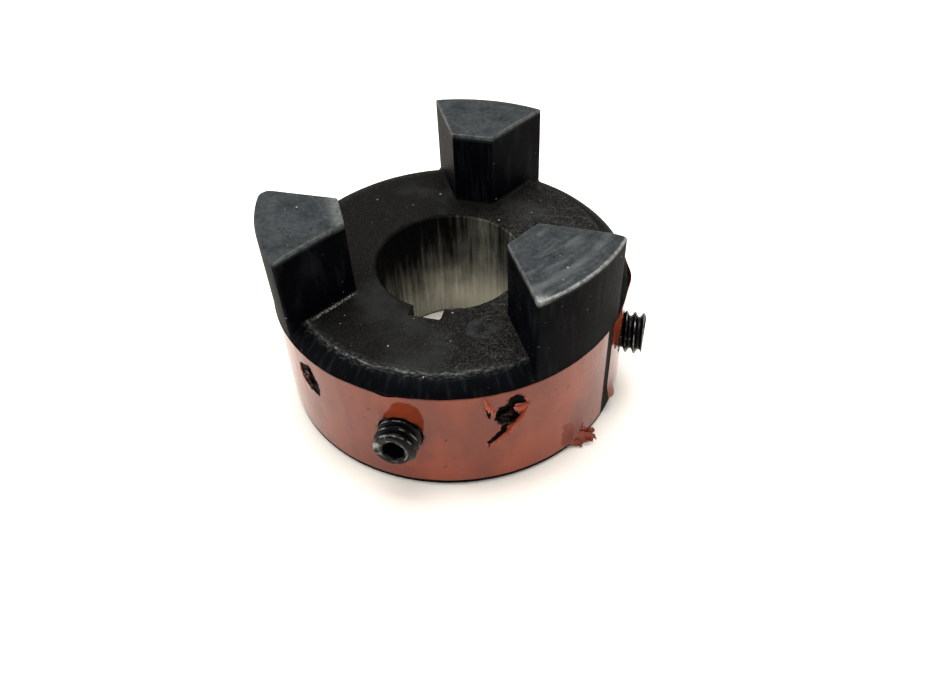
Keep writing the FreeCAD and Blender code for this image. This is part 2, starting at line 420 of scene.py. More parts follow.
class Effects:
    """Builds the shared effects once."""

    def __init__(self) -> None:
        """Build every effect."""
        self.specks = self._specks()
        self.scratches = self._scratches()
        self.grain = self._grain()

    def _specks(self) -> EffectGroup:
        """Build scattered round specks: dust, pits and bright grains."""
        group = EffectGroup("Specks", {"Scale": 2.0, "Size": 0.12, "Share": 0.3}, ["Mask"])
        graph, inlet = group.graph, group.inlet
        cells = {"Vector": inlet["Place"], "Scale": inlet["Scale"]}
        distance, colour = graph.parts("ShaderNodeTexVoronoi", cells)[:2]
        chances = graph.parts("ShaderNodeSeparateColor", {0: colour})
        lone = chances[0] < inlet["Share"]
        wobble = graph.noise(inlet["Place"], inlet["Scale"] * 3.0)
        varied = wobble + chances[1] * 1.4
        reach = inlet["Size"] * (varied - 0.1)
        spot = distance < reach
        graph.feed(group.outlet["Mask"], spot * lone)
        return group

    def _scratches(self) -> EffectGroup:
        """Build fine broken scratches that run along the place's first axis."""
        group = EffectGroup("Scratches", {"Scale": 1.0, "Length": 12.0, "Share": 0.2}, ["Mask"])
        graph, inlet = group.graph, group.inlet
        bend = graph.parts("ShaderNodeTexNoise", {"Vector": inlet["Place"], "Scale": 0.12})[1]
        bent = graph.first("ShaderNodeVectorMath", {0: bend, 1: (1.6, 1.6, 1.6)}, operation="MULTIPLY")
        place = graph.first("ShaderNodeVectorMath", {0: inlet["Place"], 1: bent}, operation="ADD")
        x, y, z = graph.parts("ShaderNodeSeparateXYZ", {0: place})
        stretched = graph.place_at(x / inlet["Length"], y, z)
        lines = graph.noise(stretched, inlet["Scale"] * 2.2, 4.0)
        gate = graph.noise(stretched, inlet["Scale"] * 0.35, 1.0)
        thin = graph.math("SUBTRACT", 1.0, abs(lines - 0.5) * 26.0, clamp=True)
        few = inlet["Share"] > abs(gate - 0.5) * 2.5
        graph.feed(group.outlet["Mask"], thin * few)
        return group

    def _grain(self) -> EffectGroup:
        """Build the sandy unevenness of a surface, as a height from 0 to 1."""
        group = EffectGroup("Grain", {"Scale": 3.0, "Coarse": 0.5}, ["Height"])
        graph, inlet = group.graph, group.inlet
        fine = graph.noise(inlet["Place"], inlet["Scale"], 5.0)
        coarse = graph.noise(inlet["Place"], inlet["Scale"] * 0.22, 3.0)
        graph.feed(group.outlet["Height"], graph.blend(inlet["Coarse"], fine, coarse))
        return group


class MaterialGraph(Graph):
    """A material's graph, with its Principled shader and its place in millimetres."""

    def __init__(self, name: str) -> None:
        """Make the material.

        Args:
            name: The finish's name.
        """
        self.material = bpy.data.materials.new(name)
        self.material.use_nodes = True
        super().__init__(self.material.node_tree)
        self.shader = next(node for node in self.tree.nodes if node.type == "BSDF_PRINCIPLED")
        coordinates = Term(self, self.add("ShaderNodeTexCoord").outputs["Object"])
        scale = {0: coordinates, "Scale": 1.0 / MM}
        self.place = self.first("ShaderNodeVectorMath", scale, operation="SCALE")
        self.x, self.y, self.z = self.parts("ShaderNodeSeparateXYZ", {0: self.place})
        self.radius = self.length(self.x, self.y)
        self.azimuth = self.math("ARCTAN2", self.y, self.x)

    def shade(self, **inputs: Any) -> None:
        """Feed the shader's inputs, with _ for a space in their names."""
        for label, value in inputs.items():
            self.feed(self.shader.inputs[label.replace("_", " ")], with_alpha(value))

    def bump(self, *layers: tuple[Any, float]) -> None:
        """Add relief to the shader's normal.

        Args:
            *layers: Heights from 0 to 1, each with its depth in millimetres.
        """
        normal = None
        for height, depth in layers:
            inputs = {"Height": height, "Strength": 1.0, "Distance": depth * MM}
            node = self.add("ShaderNodeBump", inputs)
            if normal is not None:
                self.feed(node.inputs["Normal"], normal)
            normal = Term(self, node.outputs[0])
        self.feed(self.shader.inputs["Normal"], normal)


# ---------------------------------------------------------------------------- finishes


@dataclass(frozen=True)
class IronFinish:
    """Dark oxidised cast iron, with bare machined walls and silvery worn edges, and painted light: sheen
    streaks on the sides, highlights on the face, its crease and a jaw's foot, and light and shade in the
    bore.
    """

    skin: Colour = (0.0005, 0.0007, 0.0011)
    # Painted sheen: the light colour of the streaks round the sides.
    skin_sheen: Colour = (0.0072, 0.0079, 0.0100)
    face: Colour = (0.0032, 0.0032, 0.0031)
    # Sandy face colour, which is also the painted highlight on the face towards the right.
    sandy_lit_face: Colour = (0.0225, 0.0220, 0.0195)
    hazy_face: Colour = (0.0260, 0.0270, 0.0265)
    rubbed: Colour = (0.0378, 0.0430, 0.0456)
    scuffed: Colour = (0.080, 0.091, 0.088)
    worn: Colour = (0.21, 0.22, 0.21)
    bare: Colour = (0.45, 0.44, 0.36)
    # Painted shade colour of the bore's unlit walls.
    bore_shade: Colour = (0.0022, 0.0024, 0.0026)
    # Painted highlight colour of the fillet at the foot of the left jaw.
    foot_highlight: Colour = (0.24, 0.24, 0.22)
    pit: Colour = (0.0012, 0.0013, 0.0015)
    grit: Colour = (0.075, 0.068, 0.050)
    dust: Colour = (0.25, 0.24, 0.19)
    ring: Colour = (0.026, 0.029, 0.031)
    chip: Colour = (0.14, 0.145, 0.13)
    ring_place: Point = (8.5, -14.1)
    ring_radius: float = 1.6
    foot_highlight_azimuth: float = -135.0
    foot_highlight_radius: float = 19.2
    crease_azimuth: float = -100.0
    bright_bore_azimuth: float = 68.0
    bore_radius: float = 11.0
    crease_radius: float = 23.93
    rim_radius: float = 26.8
    jaw_top: float = 32.9
    jaw_band_radius: float = 24.4
    jaw_inner_radius: float = 14.82
    jaw_inner_half_width: float = 3.07
    jaw_taper: float = 0.557
    face_height: float = 20.6

    def build(self, effects: Effects) -> bpy.types.Material:
        """Build the material.

        Args:
            effects: The shared effects.

        Returns:
            The material.
        """
        graph = MaterialGraph("dark_cast_iron")
        grain = effects.grain.place_in(graph, graph.place, Scale=3.2, Coarse=0.3)
        colour = self._skin(graph, effects, grain)
        colour = self._jaw_tops(graph, effects, colour)
        wear = self._wear(graph)
        # worn colours the worn edges, and also the painted highlight on the crease.
        colour = graph.mix(wear, colour, self.worn)
        bore_colour, bareness = self._bore(graph)
        machined = graph.mask(Mask.MACHINED)
        colour = graph.mix(machined, colour, bore_colour)
        dust = effects.specks.place_in(graph, graph.place, Scale=0.62, Size=0.055, Share=0.30)
        colour = graph.mix(dust * graph.blend(machined, 0.85, 0.1), colour, self.dust)
        metal = (machined * bareness).at_least(wear * 0.6)
        roughness = graph.blend(machined, graph.blend(grain, 0.40, 0.66), 0.42)
        graph.shade(Base_Color=colour, Metallic=metal, Roughness=roughness, Specular_IOR_Level=0.018)
        graph.bump((grain, 0.05))
        return graph.material

    def _skin(self, graph: MaterialGraph, effects: Effects, grain: Any) -> Term:
        """Colour the cast skin: bluish black on the sides with painted sheen streaks, warmer and gritty on
        the face with a painted highlight towards the right.
        """
        clouds = graph.noise(graph.place, 0.13, 5.0).ramp(0.32, 0.68)
        round_place = graph.azimuth * self.rim_radius
        drawn = graph.place_at(round_place, graph.z * 0.12, graph.radius * 0.3)
        streaks = graph.noise(drawn, 1.3, 6.0).ramp(0.48, 0.74)
        # Painted sheen: light streaks round the sides, with some cloudy tone, stand in for soft highlights
        # on the cast skin.
        sides = graph.mix(graph.blend(0.7, clouds * 0.45, streaks), self.skin, self.skin_sheen)
        sand = graph.noise(graph.place, 4.2, 6.0).ramp(0.40, 0.68)
        # Painted highlight: the sandy face grows lighter towards the right. rightward also gathers the real
        # grit and hairlines there.
        rightward = (graph.x - clouds * 6.0).ramp(-6.0, 12.0)
        face = graph.mix(sand * graph.blend(rightward, 0.30, 1.0), self.face, self.sandy_lit_face)
        haze = graph.noise(graph.place, 0.085, 4.0).ramp(0.50, 0.68)
        face = graph.mix(haze * 0.45, face, self.hazy_face)
        colour = graph.mix(graph.mask(Mask.FACE), sides, face)
        fine = effects.specks.place_in(graph, graph.place, Scale=2.6, Size=0.16, Share=0.34)
        patches = graph.noise(graph.place_at(graph.x, graph.y, 4.0), 0.13, 3.0).ramp(0.40, 0.62)
        gritty = fine * patches * graph.mask(Mask.FACE)
        colour = graph.mix(gritty * graph.blend(rightward, 0.12, 0.9), colour, self.grit)
        hairlines = effects.scratches.place_in(graph, graph.place, Scale=1.7, Length=3.0, Share=0.10)
        hairlines = hairlines * graph.mask(Mask.FACE) * rightward
        colour = graph.mix(hairlines * 0.45, colour, self.scuffed)
        sparse = effects.specks.place_in(graph, graph.place, Scale=1.7, Size=0.13, Share=0.05)
        colour = graph.mix(sparse * 0.55, colour, self.grit)
        ring_x, ring_y = self.ring_place
        off_ring = abs(graph.length(graph.x - ring_x, graph.y - ring_y) - self.ring_radius)
        blot = off_ring.ramp(1.1, 0.1) * graph.mask(Mask.FACE)
        blot = blot * graph.noise(graph.place, 0.7, 5.0).ramp(0.38, 0.60)
        colour = graph.mix(blot * 0.55, colour, self.ring)
        # Painted highlight along the fillet at the left jaw's foot.
        return graph.mix(self._foot_highlight(graph), colour, self.foot_highlight)

    def _foot_highlight(self, graph: MaterialGraph) -> Term:
        """Find the painted highlight: a pale speckled line along the fillet at the foot of the left jaw's
        front side.
        """
        to_side, _, _ = self._from_jaw_edges(graph)
        off_foot = abs(to_side + 0.38)
        along_foot = abs(graph.azimuth - math.radians(self.foot_highlight_azimuth))
        foot = off_foot.ramp(0.28, 0.08) * along_foot.ramp(0.17, 0.12)
        low = graph.z.ramp(self.face_height + 0.6, self.face_height + 0.3) * foot
        off_middle = abs(graph.radius - self.foot_highlight_radius)
        low = low * off_middle.ramp(4.4, 2.6)
        speckle = graph.noise(graph.place, 4.5, 5.0).ramp(0.44, 0.60)
        return low * speckle * 0.8

    def _from_jaw_edges(self, graph: MaterialGraph) -> tuple[Term, ...]:
        """Measure how far a place is inside a jaw's side faces, its inner face and its outer face."""
        third = TURN / 3
        shifted = graph.azimuth - TURN / 12
        folded = shifted % third - third / 2
        along = graph.radius * graph.math("COSINE", folded)
        across = abs(graph.radius * graph.math("SINE", folded))
        past_inner = along - self.jaw_inner_radius
        half_width = past_inner * self.jaw_taper + self.jaw_inner_half_width
        to_side = (half_width - across) * math.cos(math.atan(self.jaw_taper))
        return to_side, past_inner, self.rim_radius - graph.radius

    def _jaw_tops(self, graph: MaterialGraph, effects: Effects, colour: Any) -> Term:
        """Rub and scrape the tops of the jaws, which are slate grey."""
        top = graph.mask(Mask.JAW_TOP)
        rubbing = graph.noise(graph.place, 0.38, 6.0).ramp(0.22, 0.66)
        mottle = graph.noise(graph.place, 1.7, 6.0).ramp(0.36, 0.66)
        share = graph.blend(rubbing, 0.50, 1.0) * graph.blend(mottle, 0.68, 1.0)
        colour = graph.mix(top * share, colour, self.rubbed)
        right = (graph.x + graph.y * -0.6).ramp(8.0, 14.0)
        swept = graph.radius + graph.noise(graph.place, 0.10, 2.0) * 7.0
        drawn = graph.place_at(swept, graph.azimuth * 3.5, 0.0)
        arcs = graph.noise(drawn, 1.2, 8.0).ramp(0.44, 0.68)
        broken = graph.noise(graph.place, 0.35, 5.0).ramp(0.38, 0.60)
        scrape = arcs * broken * right * top
        colour = graph.mix(scrape * 0.55, colour, self.scuffed)
        off_band = abs(graph.radius - self.jaw_band_radius)
        band = off_band.ramp(0.9, 0.1) * graph.blend(right, 0.08, 0.5) * top
        colour = graph.mix(band * graph.blend(broken, 0.5, 1.0), colour, self.scuffed)
        dotted = graph.noise(graph.place, 0.16, 2.0).ramp(0.44, 0.58)
        pits = effects.specks.place_in(graph, graph.place, Scale=1.3, Size=0.11, Share=0.30)
        pitted = pits * dotted * top
        colour = graph.mix(pitted * 0.85, colour, self.pit)
        chips = effects.specks.place_in(graph, graph.place, Scale=1.9, Size=0.12, Share=0.10)
        return graph.mix(chips * top * 0.6, colour, self.chip)

    def _wear(self, graph: MaterialGraph) -> Term:
        """Break the worn edges up, and add the crease round the front face, which is rubbed wear with a
        painted highlight.
        """
        broken = graph.blend(graph.noise(graph.place, 1.3, 6.0).ramp(0.36, 0.60), 0.4, 1.0)
        to_side, past_inner, outboard = self._from_jaw_edges(graph)
        wander = graph.noise(graph.place, 0.9, 4.0) * 0.26
        thin = (to_side.at_most(past_inner) + wander).ramp(0.40, 0.20)
        rightmost = (graph.x - graph.y).ramp(18.0, 22.0)
        bold = (outboard + wander).ramp(0.62, 0.30)
        outer = bold * graph.blend(rightmost, 0.06, 1.0)
        on_top = graph.z.ramp(self.jaw_top - 0.75, self.jaw_top - 0.45)
        rubbed_edges = (thin * 0.34).at_least(outer) * on_top
        edges = graph.mask(Mask.WEAR).at_least(rubbed_edges) * broken
        return edges.at_least(self._crease_rub_and_highlight(graph))

    def _crease_rub_and_highlight(self, graph: MaterialGraph) -> Term:
        """Paint the crease round the front face, partly rubbed wear and partly a painted highlight: a thin
        broken line in a faint haze, boldest at the front.
        """
        shift = (graph.noise(graph.place, 0.4, 3.0) - 0.5) * 1.3
        off_crease = abs(graph.radius + shift - self.crease_radius)
        round_place = graph.azimuth * self.crease_radius
        drawn = graph.place_at(round_place * 0.7, graph.radius * 1.7, 0.0)
        dashes = graph.noise(drawn, 1.6, 8.0).ramp(0.42, 0.66)
        line = off_crease.ramp(0.32, 0.06) * dashes
        grains = graph.noise(drawn, 2.2, 6.0).ramp(0.42, 0.68)
        haze = off_crease.ramp(1.2, 0.1) * grains * 0.15
        from_front = abs(graph.azimuth - math.radians(self.crease_azimuth))
        ahead = from_front.ramp(math.radians(75.0), math.radians(8.0))
        flat = graph.z.ramp(21.0, 20.8) * graph.z.ramp(19.6, 20.0)
        rub = (line * 0.42).at_least(haze) * flat
        return rub * graph.blend(ahead, 0.15, 1.0)

    def _bore(self, graph: MaterialGraph) -> tuple[Term, Term]:
        """Colour the machined walls: bare steel streaked along the bore, with painted light towards the
        bottom and on the far side, and painted shade towards the front.
        """
        round_place = graph.azimuth * self.bore_radius
        streaks = graph.noise(graph.place_at(round_place, graph.z * 0.06, 0.0), 1.6, 6.0)
        patches = graph.noise(graph.place_at(round_place, graph.z * 0.5, 3.0), 0.26, 3.0)
        fall = graph.z.ramp(18.0, 1.0)
        aside = abs(graph.azimuth - math.radians(self.bright_bore_azimuth))
        sunny = aside.ramp(math.radians(75.0), math.radians(15.0))
        mottle = (graph.blend(0.5, streaks, patches) - 0.5) * 1.45
        # Painted light and shade: the walls grow lighter and barer towards the bottom and round the far
        # side, and darker towards the front.
        lit = fall * 0.80 + sunny * 0.36
        share = (lit + mottle).ramp(0.12, 1.35)
        return graph.mix(share, self.bore_shade, self.bare), share * 0.7


@dataclass(frozen=True)
class FilmFinish:
    """Glossy red-brown label film, with nicks, dark scraps, darkening along the tears, painted shade along
    the top edge and round a shred's root, and ripped edges painted lighter where they face the light.
    """

    ink: Colour = (0.180, 0.032, 0.013)
    deep_ink: Colour = (0.125, 0.022, 0.010)
    rosy_ink: Colour = (0.235, 0.042, 0.015)
    # Painted shade colour of the patch round the lower shred's root.
    root_shade: Colour = (0.145, 0.020, 0.008)
    # Ripped-edge colour. It is also painted light on the lips and on the lifted flap, which face the light.
    torn: Colour = (0.29, 0.048, 0.019)
    smudge: Colour = (0.07, 0.026, 0.017)
    dirt: Colour = (0.022, 0.010, 0.008)
    # Near-black colour of the dark scraps, of the darkening along the tears, and of the painted shade along
    # the top edge.
    soot_and_shade: Colour = (0.0014, 0.0015, 0.0019)
    nicked_place: Point = (-13.5, 14.2)
    root_place: Point = (-17.2, 3.6)
    wrap_radius: float = 26.8

    def build(self, effects: Effects) -> bpy.types.Material:
        """Build the material.

        Args:
            effects: The shared effects.

        Returns:
            The material.
        """
        graph = MaterialGraph("red_label_film")
        along = graph.azimuth * self.wrap_radius
        unrolled = graph.place_at(along, graph.z, graph.radius)
        tall = graph.place_at(along, graph.z * 0.3, 0.0)
        clouds = graph.noise(tall, 0.16, 4.0).ramp(0.34, 0.66)
        colour = graph.mix(clouds, self.ink, self.deep_ink)
        rosy = graph.noise(graph.place_at(along, graph.z * 0.6, 5.0), 0.10, 5.0).ramp(0.46, 0.64)
        colour = graph.mix(rosy * 0.6, colour, self.rosy_ink)
        # Painted shade: a darker, more saturated red patch round the shred's root, where the lifted film
        # reflects less light.
        across = along - self.root_place[0]
        up = (graph.z - self.root_place[1]) * 0.45
        reach = graph.length(across, up)
        rough_edge = reach + graph.noise(unrolled, 0.9, 5.0) * 2.0
        root_shade = rough_edge.ramp(2.30, 2.15)
        colour = graph.mix(root_shade, colour, self.root_shade)
        smudges = graph.noise(unrolled, 0.55, 5.0).ramp(0.60, 0.74)
        colour = graph.mix(smudges * 0.45, colour, self.smudge)
        nicks = effects.specks.place_in(graph, unrolled, Scale=0.5, Size=0.07, Share=0.22)
        across = along - self.nicked_place[0]
        up = graph.z - self.nicked_place[1]
        away = graph.length(across, up)
        nearby = away.ramp(5.5, 2.0)
        length = (along + graph.z) * 0.35
        slanted = graph.place_at(length, (graph.z - along) * 1.2, 0.0)
        cut_share = graph.blend(nearby, 0.05, 0.9)
        cuts = effects.specks.place_in(graph, slanted, Scale=0.9, Size=0.11, Share=cut_share)
        marks = (nicks * 0.8).at_least(cuts * 0.85)
        colour = graph.mix(marks, colour, self.dirt)
        # Lighter orange on ripped edges, partly painted light where the lips and the lifted flap face the
        # light.
        colour = graph.mix(graph.mask(Mask.TORN_AND_LIT), colour, self.torn)
        # Near-black on the dark scraps and along the tears, and painted shade along the film's top edge.
        colour = graph.mix(graph.mask(Mask.GRIME_AND_SHADE), colour, self.soot_and_shade)
        roughness = graph.blend(smudges, 0.09, 0.24)
        dull = graph.mask(Mask.GRIME_AND_SHADE) * 0.2
        graph.shade(Base_Color=colour, Roughness=roughness + dull)
        # The metallic share also takes the reflection out of the painted shade and the dark scraps.
        unglossed = graph.mask(Mask.GRIME_AND_SHADE).at_least(root_shade * 0.75)
        graph.shade(Metallic=unglossed, Specular_IOR_Level=0.30, IOR=1.5)
        ripple = graph.noise(tall, 0.42, 2.0)
        graph.bump((ripple, 0.10), (1.0 - marks, 0.03))
        return graph.material


@dataclass(frozen=True)
class BlackOxideFinish:
    """Black oxide on steel, oily, with bare metal where the crests are rubbed."""

    oxide: Colour = (0.0008, 0.0008, 0.0010)
    dusty: Colour = (0.0032, 0.0032, 0.0034)
    rubbed: Colour = (0.28, 0.28, 0.27)

    def build(self, effects: Effects) -> bpy.types.Material:
        """Build the material.

        Args:
            effects: The shared effects.

        Returns:
            The material.
        """
        graph = MaterialGraph("black_oxide_steel")
        grain = effects.grain.place_in(graph, graph.place, Scale=6.0, Coarse=0.5)
        colour = graph.mix(grain.ramp(0.42, 0.7), self.oxide, self.dusty)
        broken = graph.noise(graph.place, 0.9, 5.0).ramp(0.44, 0.64)
        crest = graph.mask(Mask.CREST).ramp(0.72, 1.0)
        rub = crest * broken * 0.8
        specks = effects.specks.place_in(graph, graph.place, Scale=2.2, Size=0.16, Share=0.08)
        colour = graph.mix(rub.at_least(specks * 0.4), colour, self.rubbed)
        graph.shade(Base_Color=colour, Metallic=rub * 0.9, Roughness=graph.blend(grain, 0.18, 0.40))
        graph.shade(Specular_IOR_Level=0.09)
        graph.bump((grain, 0.02))
        return graph.material


@dataclass(frozen=True)
class TableFinish:
    """The plain pale surface that the hub stands on."""

    colour: Colour = (0.93, 0.885, 0.82)

    def build(self) -> bpy.types.Material:
        """Build the material."""
        graph = MaterialGraph("pale_table")
        graph.shade(Base_Color=self.colour, Roughness=0.55, Specular_IOR_Level=0.2)
        return graph.material


# ---------------------------------------------------------------------------- the hub


@dataclass
class HubCasting:
    """The iron casting: the designed shape, cut finer, with cast skin, nicks and wear."""

    cell: float = 0.75
    merge_distance: float = 0.0015
    flat_angle: float = 0.4
    thread_reach: float = 3.5
    thread_faces_kept: float = 0.16
    screw_height: float = 11.1
    skin_wave: float = 0.18
    skin_depth: float = 0.035
    nick_depth: float = 0.09
    left_jaw_azimuth: float = 210.0
    battered_corner: Point = (18.0, -20.4)
    worn_corner: Point = (-26.3, -4.9)
    worn_depth: float = 0.24
    radius: float = field(init=False)
    top: float = field(init=False)
    bore_radius: float = field(init=False)
    face_height: float = field(init=False)

    def __post_init__(self) -> None:
        """Read the hub's sizes from the frame."""
        low, high = box_mm("hub_body")
        self.radius = float(high[0] - low[0]) / 2
        self.top = float(high[2])
        mounts = {mount["name"]: mount for mount in frame["record"]["mounts"]}
        self.bore_radius = float(mounts["bore"]["dims"]["r_mm"])
        self.face_height = float(mounts["jaw_ring"]["pos_m"][2]) / MM

    def build(self, material: bpy.types.Material) -> bpy.types.Object:
        """Make the casting and dress it.

        Args:
            material: Its finish.

        Returns:
            The piece.
        """
        obj = self._copy_design()
        self._thin_threads(obj)
        self._cut_finer(obj.data)
        self._store_masks(obj.data)
        self._roughen(obj.data)
        sharpen(obj.data, 32.0)
        dress(obj, material)
        return obj

    def _copy_design(self) -> bpy.types.Object:
        """Copy the designed mesh and join its loose triangles."""
        mesh = frame["nodes"]["hub_body"].data.copy()
        mesh.name = "hub_casting"
        for attribute in [a.name for a in mesh.attributes if a.name in ("custom_normal", "sharp_face")]:
            mesh.attributes.remove(mesh.attributes[attribute])
        with opened(mesh) as shape:
            bmesh.ops.remove_doubles(shape, verts=shape.verts, dist=self.merge_distance * MM)
        return link("hub_casting", mesh)

    def _in_threads(self, points: np.ndarray) -> np.ndarray:
        """Tell which points lie in the two tapped holes, short of their mouths."""
        height = points[:, 2] - self.screw_height
        front = np.hypot(points[:, 0], height) < self.thread_reach
        front &= (points[:, 1] > -self.radius + 0.8) & (points[:, 1] < -self.bore_radius - 2.6)
        side = np.hypot(points[:, 1], height) < self.thread_reach
        side &= (points[:, 0] < self.radius - 0.8) & (points[:, 0] > self.bore_radius + 0.6)
        return front | side

    def _thin_threads(self, obj: bpy.types.Object) -> None:
        """Make the tapped holes' threads lighter, and leave the rest as it is."""
        inside = self._in_threads(points_of(obj.data))
        corners = np.zeros(len(obj.data.polygons) * 3, np.int32)
        obj.data.polygons.foreach_get("vertices", corners)
        heavy = inside[corners.reshape(-1, 3)].all(axis=1).sum()
        group = obj.vertex_groups.new(name="threads")
        group.add(np.flatnonzero(inside).tolist(), 1.0, "REPLACE")
        modifier = obj.modifiers.new("thin_threads", "DECIMATE")
        modifier.vertex_group = group.name
        modifier.ratio = 1.0 - heavy * (1.0 - self.thread_faces_kept) / len(obj.data.polygons)
        replace_mesh(obj)
        obj.vertex_groups.clear()

    def _cut_finer(self, mesh: bpy.types.Mesh) -> None:
        """Join the flat triangles, and cut the whole casting into even cells."""
        low, high = CAD_BOX
        step = self.cell * 1.0
        flat = math.radians(self.flat_angle)
        with opened(mesh) as shape:
            bmesh.ops.dissolve_limit(shape, angle_limit=flat, verts=shape.verts, edges=shape.edges)
            for axis in range(3):
                normal = Vector([float(index == axis) for index in range(3)])
                count = int((high[axis] - low[axis]) / MM / step)
                for index in range(1, count):
                    place = normal * (low[axis] + (index + 0.31) * step * MM)
                    parts = shape.verts[:] + shape.edges[:] + shape.faces[:]
                    bmesh.ops.bisect_plane(shape, geom=parts, dist=1e-7, plane_co=place, plane_no=normal)
            bmesh.ops.remove_doubles(shape, verts=shape.verts, dist=0.02 * MM)
            bmesh.ops.triangulate(shape, faces=shape.faces)

    def _convexity(self, mesh: bpy.types.Mesh, rounds: int) -> np.ndarray:
        """Measure how far each point stands out of its surroundings, in millimetres."""
        points = points_of(mesh)
        edges = np.zeros(len(mesh.edges) * 2, np.int32)
        mesh.edges.foreach_get("vertices", edges)
        first, second = edges.reshape(-1, 2).T
        count = np.bincount(first, minlength=len(points)) + np.bincount(second, minlength=len(points))
        blurred = points.copy()
        for _ in range(rounds):
            total = np.zeros_like(blurred)
            for axis in range(3):
                total[:, axis] += np.bincount(first, blurred[second, axis], minlength=len(points))
                total[:, axis] += np.bincount(second, blurred[first, axis], minlength=len(points))
            blurred = total / np.maximum(count, 1)[:, None]
        return ((points - blurred) * normals_of(mesh)).sum(axis=1)

    def _machined(self, points: np.ndarray) -> np.ndarray:
        """Tell which points lie in the bore, the keyway and the tapped holes."""
        reach = np.hypot(points[:, 0], points[:, 1])
        bore = reach < self.bore_radius + 0.2
        keyway = (np.abs(points[:, 0]) < 2.6) & (points[:, 1] < 0) & (reach < self.bore_radius + 2.7)
        below = points[:, 2] < self.face_height - 0.05
        return (bore | keyway) & below

    def _store_masks(self, mesh: bpy.types.Mesh) -> None:
        """Store where the casting is worn, machined, on its front face and on top of a jaw."""
        points = points_of(mesh)
        standing_out = self._convexity(mesh, 6)
        machined = self._machined(points)
        threads = self._in_threads(points)
        on_jaw_top = points[:, 2] > self.top - 0.9
        wear = smooth_step(standing_out, 0.10, 0.24) * (points[:, 2] > self.face_height + 1.0) * 0.3
        wear[threads | machined | on_jaw_top] = 0.0
        store_mask(mesh, Mask.WEAR, np.maximum(wear, self._battered_edges(points)))
        in_keyway = np.hypot(points[:, 0], points[:, 1]) > self.bore_radius + 0.2
        store_mask(mesh, Mask.MACHINED, ((machined & ~in_keyway) | threads).astype(float))
        reach = np.hypot(points[:, 0], points[:, 1])
        is_face = (np.abs(points[:, 2] - self.face_height) < 0.25) & (reach < self.radius - 2.6)
        store_mask(mesh, Mask.FACE, is_face.astype(float))
        store_mask(mesh, Mask.JAW_TOP, smooth_step(points[:, 2], self.top - 0.75, self.top - 0.5))

    def _out_left_jaw(self, points: np.ndarray) -> np.ndarray:
        """Measure how far points lie out along the left jaw's middle line."""
        angle = math.radians(self.left_jaw_azimuth)
        return points[:, 0] * math.cos(angle) + points[:, 1] * math.sin(angle)

    def _off(self, points: np.ndarray, corner: Point) -> np.ndarray:
        """Measure how far points lie from an upright line through a corner."""
        return np.hypot(points[:, 0] - corner[0], points[:, 1] - corner[1])

    def _battered_edges(self, points: np.ndarray) -> np.ndarray:
        """Mark the left jaw's chipped inner edge and the right jaw's battered front corner."""
        out_left = self._out_left_jaw(points)
        chipped = 0.42 * smooth_step(out_left, 16.9, 15.0) * (out_left > 14.0)
        battered = smooth_step(self._off(points, self.battered_corner), 2.2, 0.6)
        return np.maximum(chipped, battered) * (points[:, 2] > self.top - 0.6)

    def _roughen(self, mesh: bpy.types.Mesh) -> None:
        """Give the casting its cast skin, its nicked edges and its worn back corner."""
        points = points_of(mesh)
        normals = normals_of(mesh)
        reach = np.hypot(points[:, 0], points[:, 1])
        is_wall = (reach > self.radius - 0.05) & (points[:, 2] < self.face_height - 1.6)
        is_fixed = self._machined(points) | self._in_threads(points) | is_wall | (points[:, 2] < 0.6)
        skin = noise_at(points, self.skin_wave, 3.0) + 0.6 * noise_at(points, self.skin_wave * 4.0, 9.0)
        standing_out = smooth_step(self._convexity(mesh, 3), 0.03, 0.12)
        nicks = np.maximum(noise_at(points, 0.55, 21.0), 0.0) ** 1.5
        nicks += 0.4 * np.maximum(noise_at(points, 1.7, 5.0), 0.0)
        inset = self.skin_depth * (0.5 + 0.5 * skin) + self.nick_depth * standing_out * nicks
        worn = smooth_step(self._off(points, self.worn_corner), 1.4, 0.2)
        worn *= smooth_step(points[:, 2], self.face_height + 1.0, self.top - 2.0)
        inset += self.worn_depth * worn * (self._out_left_jaw(points) > 20.0)
        inset[is_fixed] = 0.0
        move_points(mesh, points - normals * inset[:, None])


def replace_mesh(obj: bpy.types.Object) -> None:
    """Put a piece's modifiers into its mesh and remove them."""
    graph = bpy.context.evaluated_depsgraph_get()
    mesh = bpy.data.meshes.new_from_object(obj.evaluated_get(graph), depsgraph=graph)
    mesh.name = obj.name
    obj.modifiers.clear()
    obj.data = mesh


# ---------------------------------------------------------------------------- the label


@dataclass(frozen=True)
class Lift:
    """A place where the film stands off the rim."""

    along: float
    height: float
    reach_along: float
    reach_height: float
    rise: float


@dataclass(frozen=True)
class Lip:
    """A ripped edge of film, curled off the rim."""

    path: tuple[Point, ...]
    width: float
    lean: Point
    curl: float
    seed: float


@dataclass(frozen=True)
class Shred:
    """A crumpled strip of film that hangs out from the lower edge."""

    along: float
    height: float
    length: float
    width: float
    sway: float
    seed: float


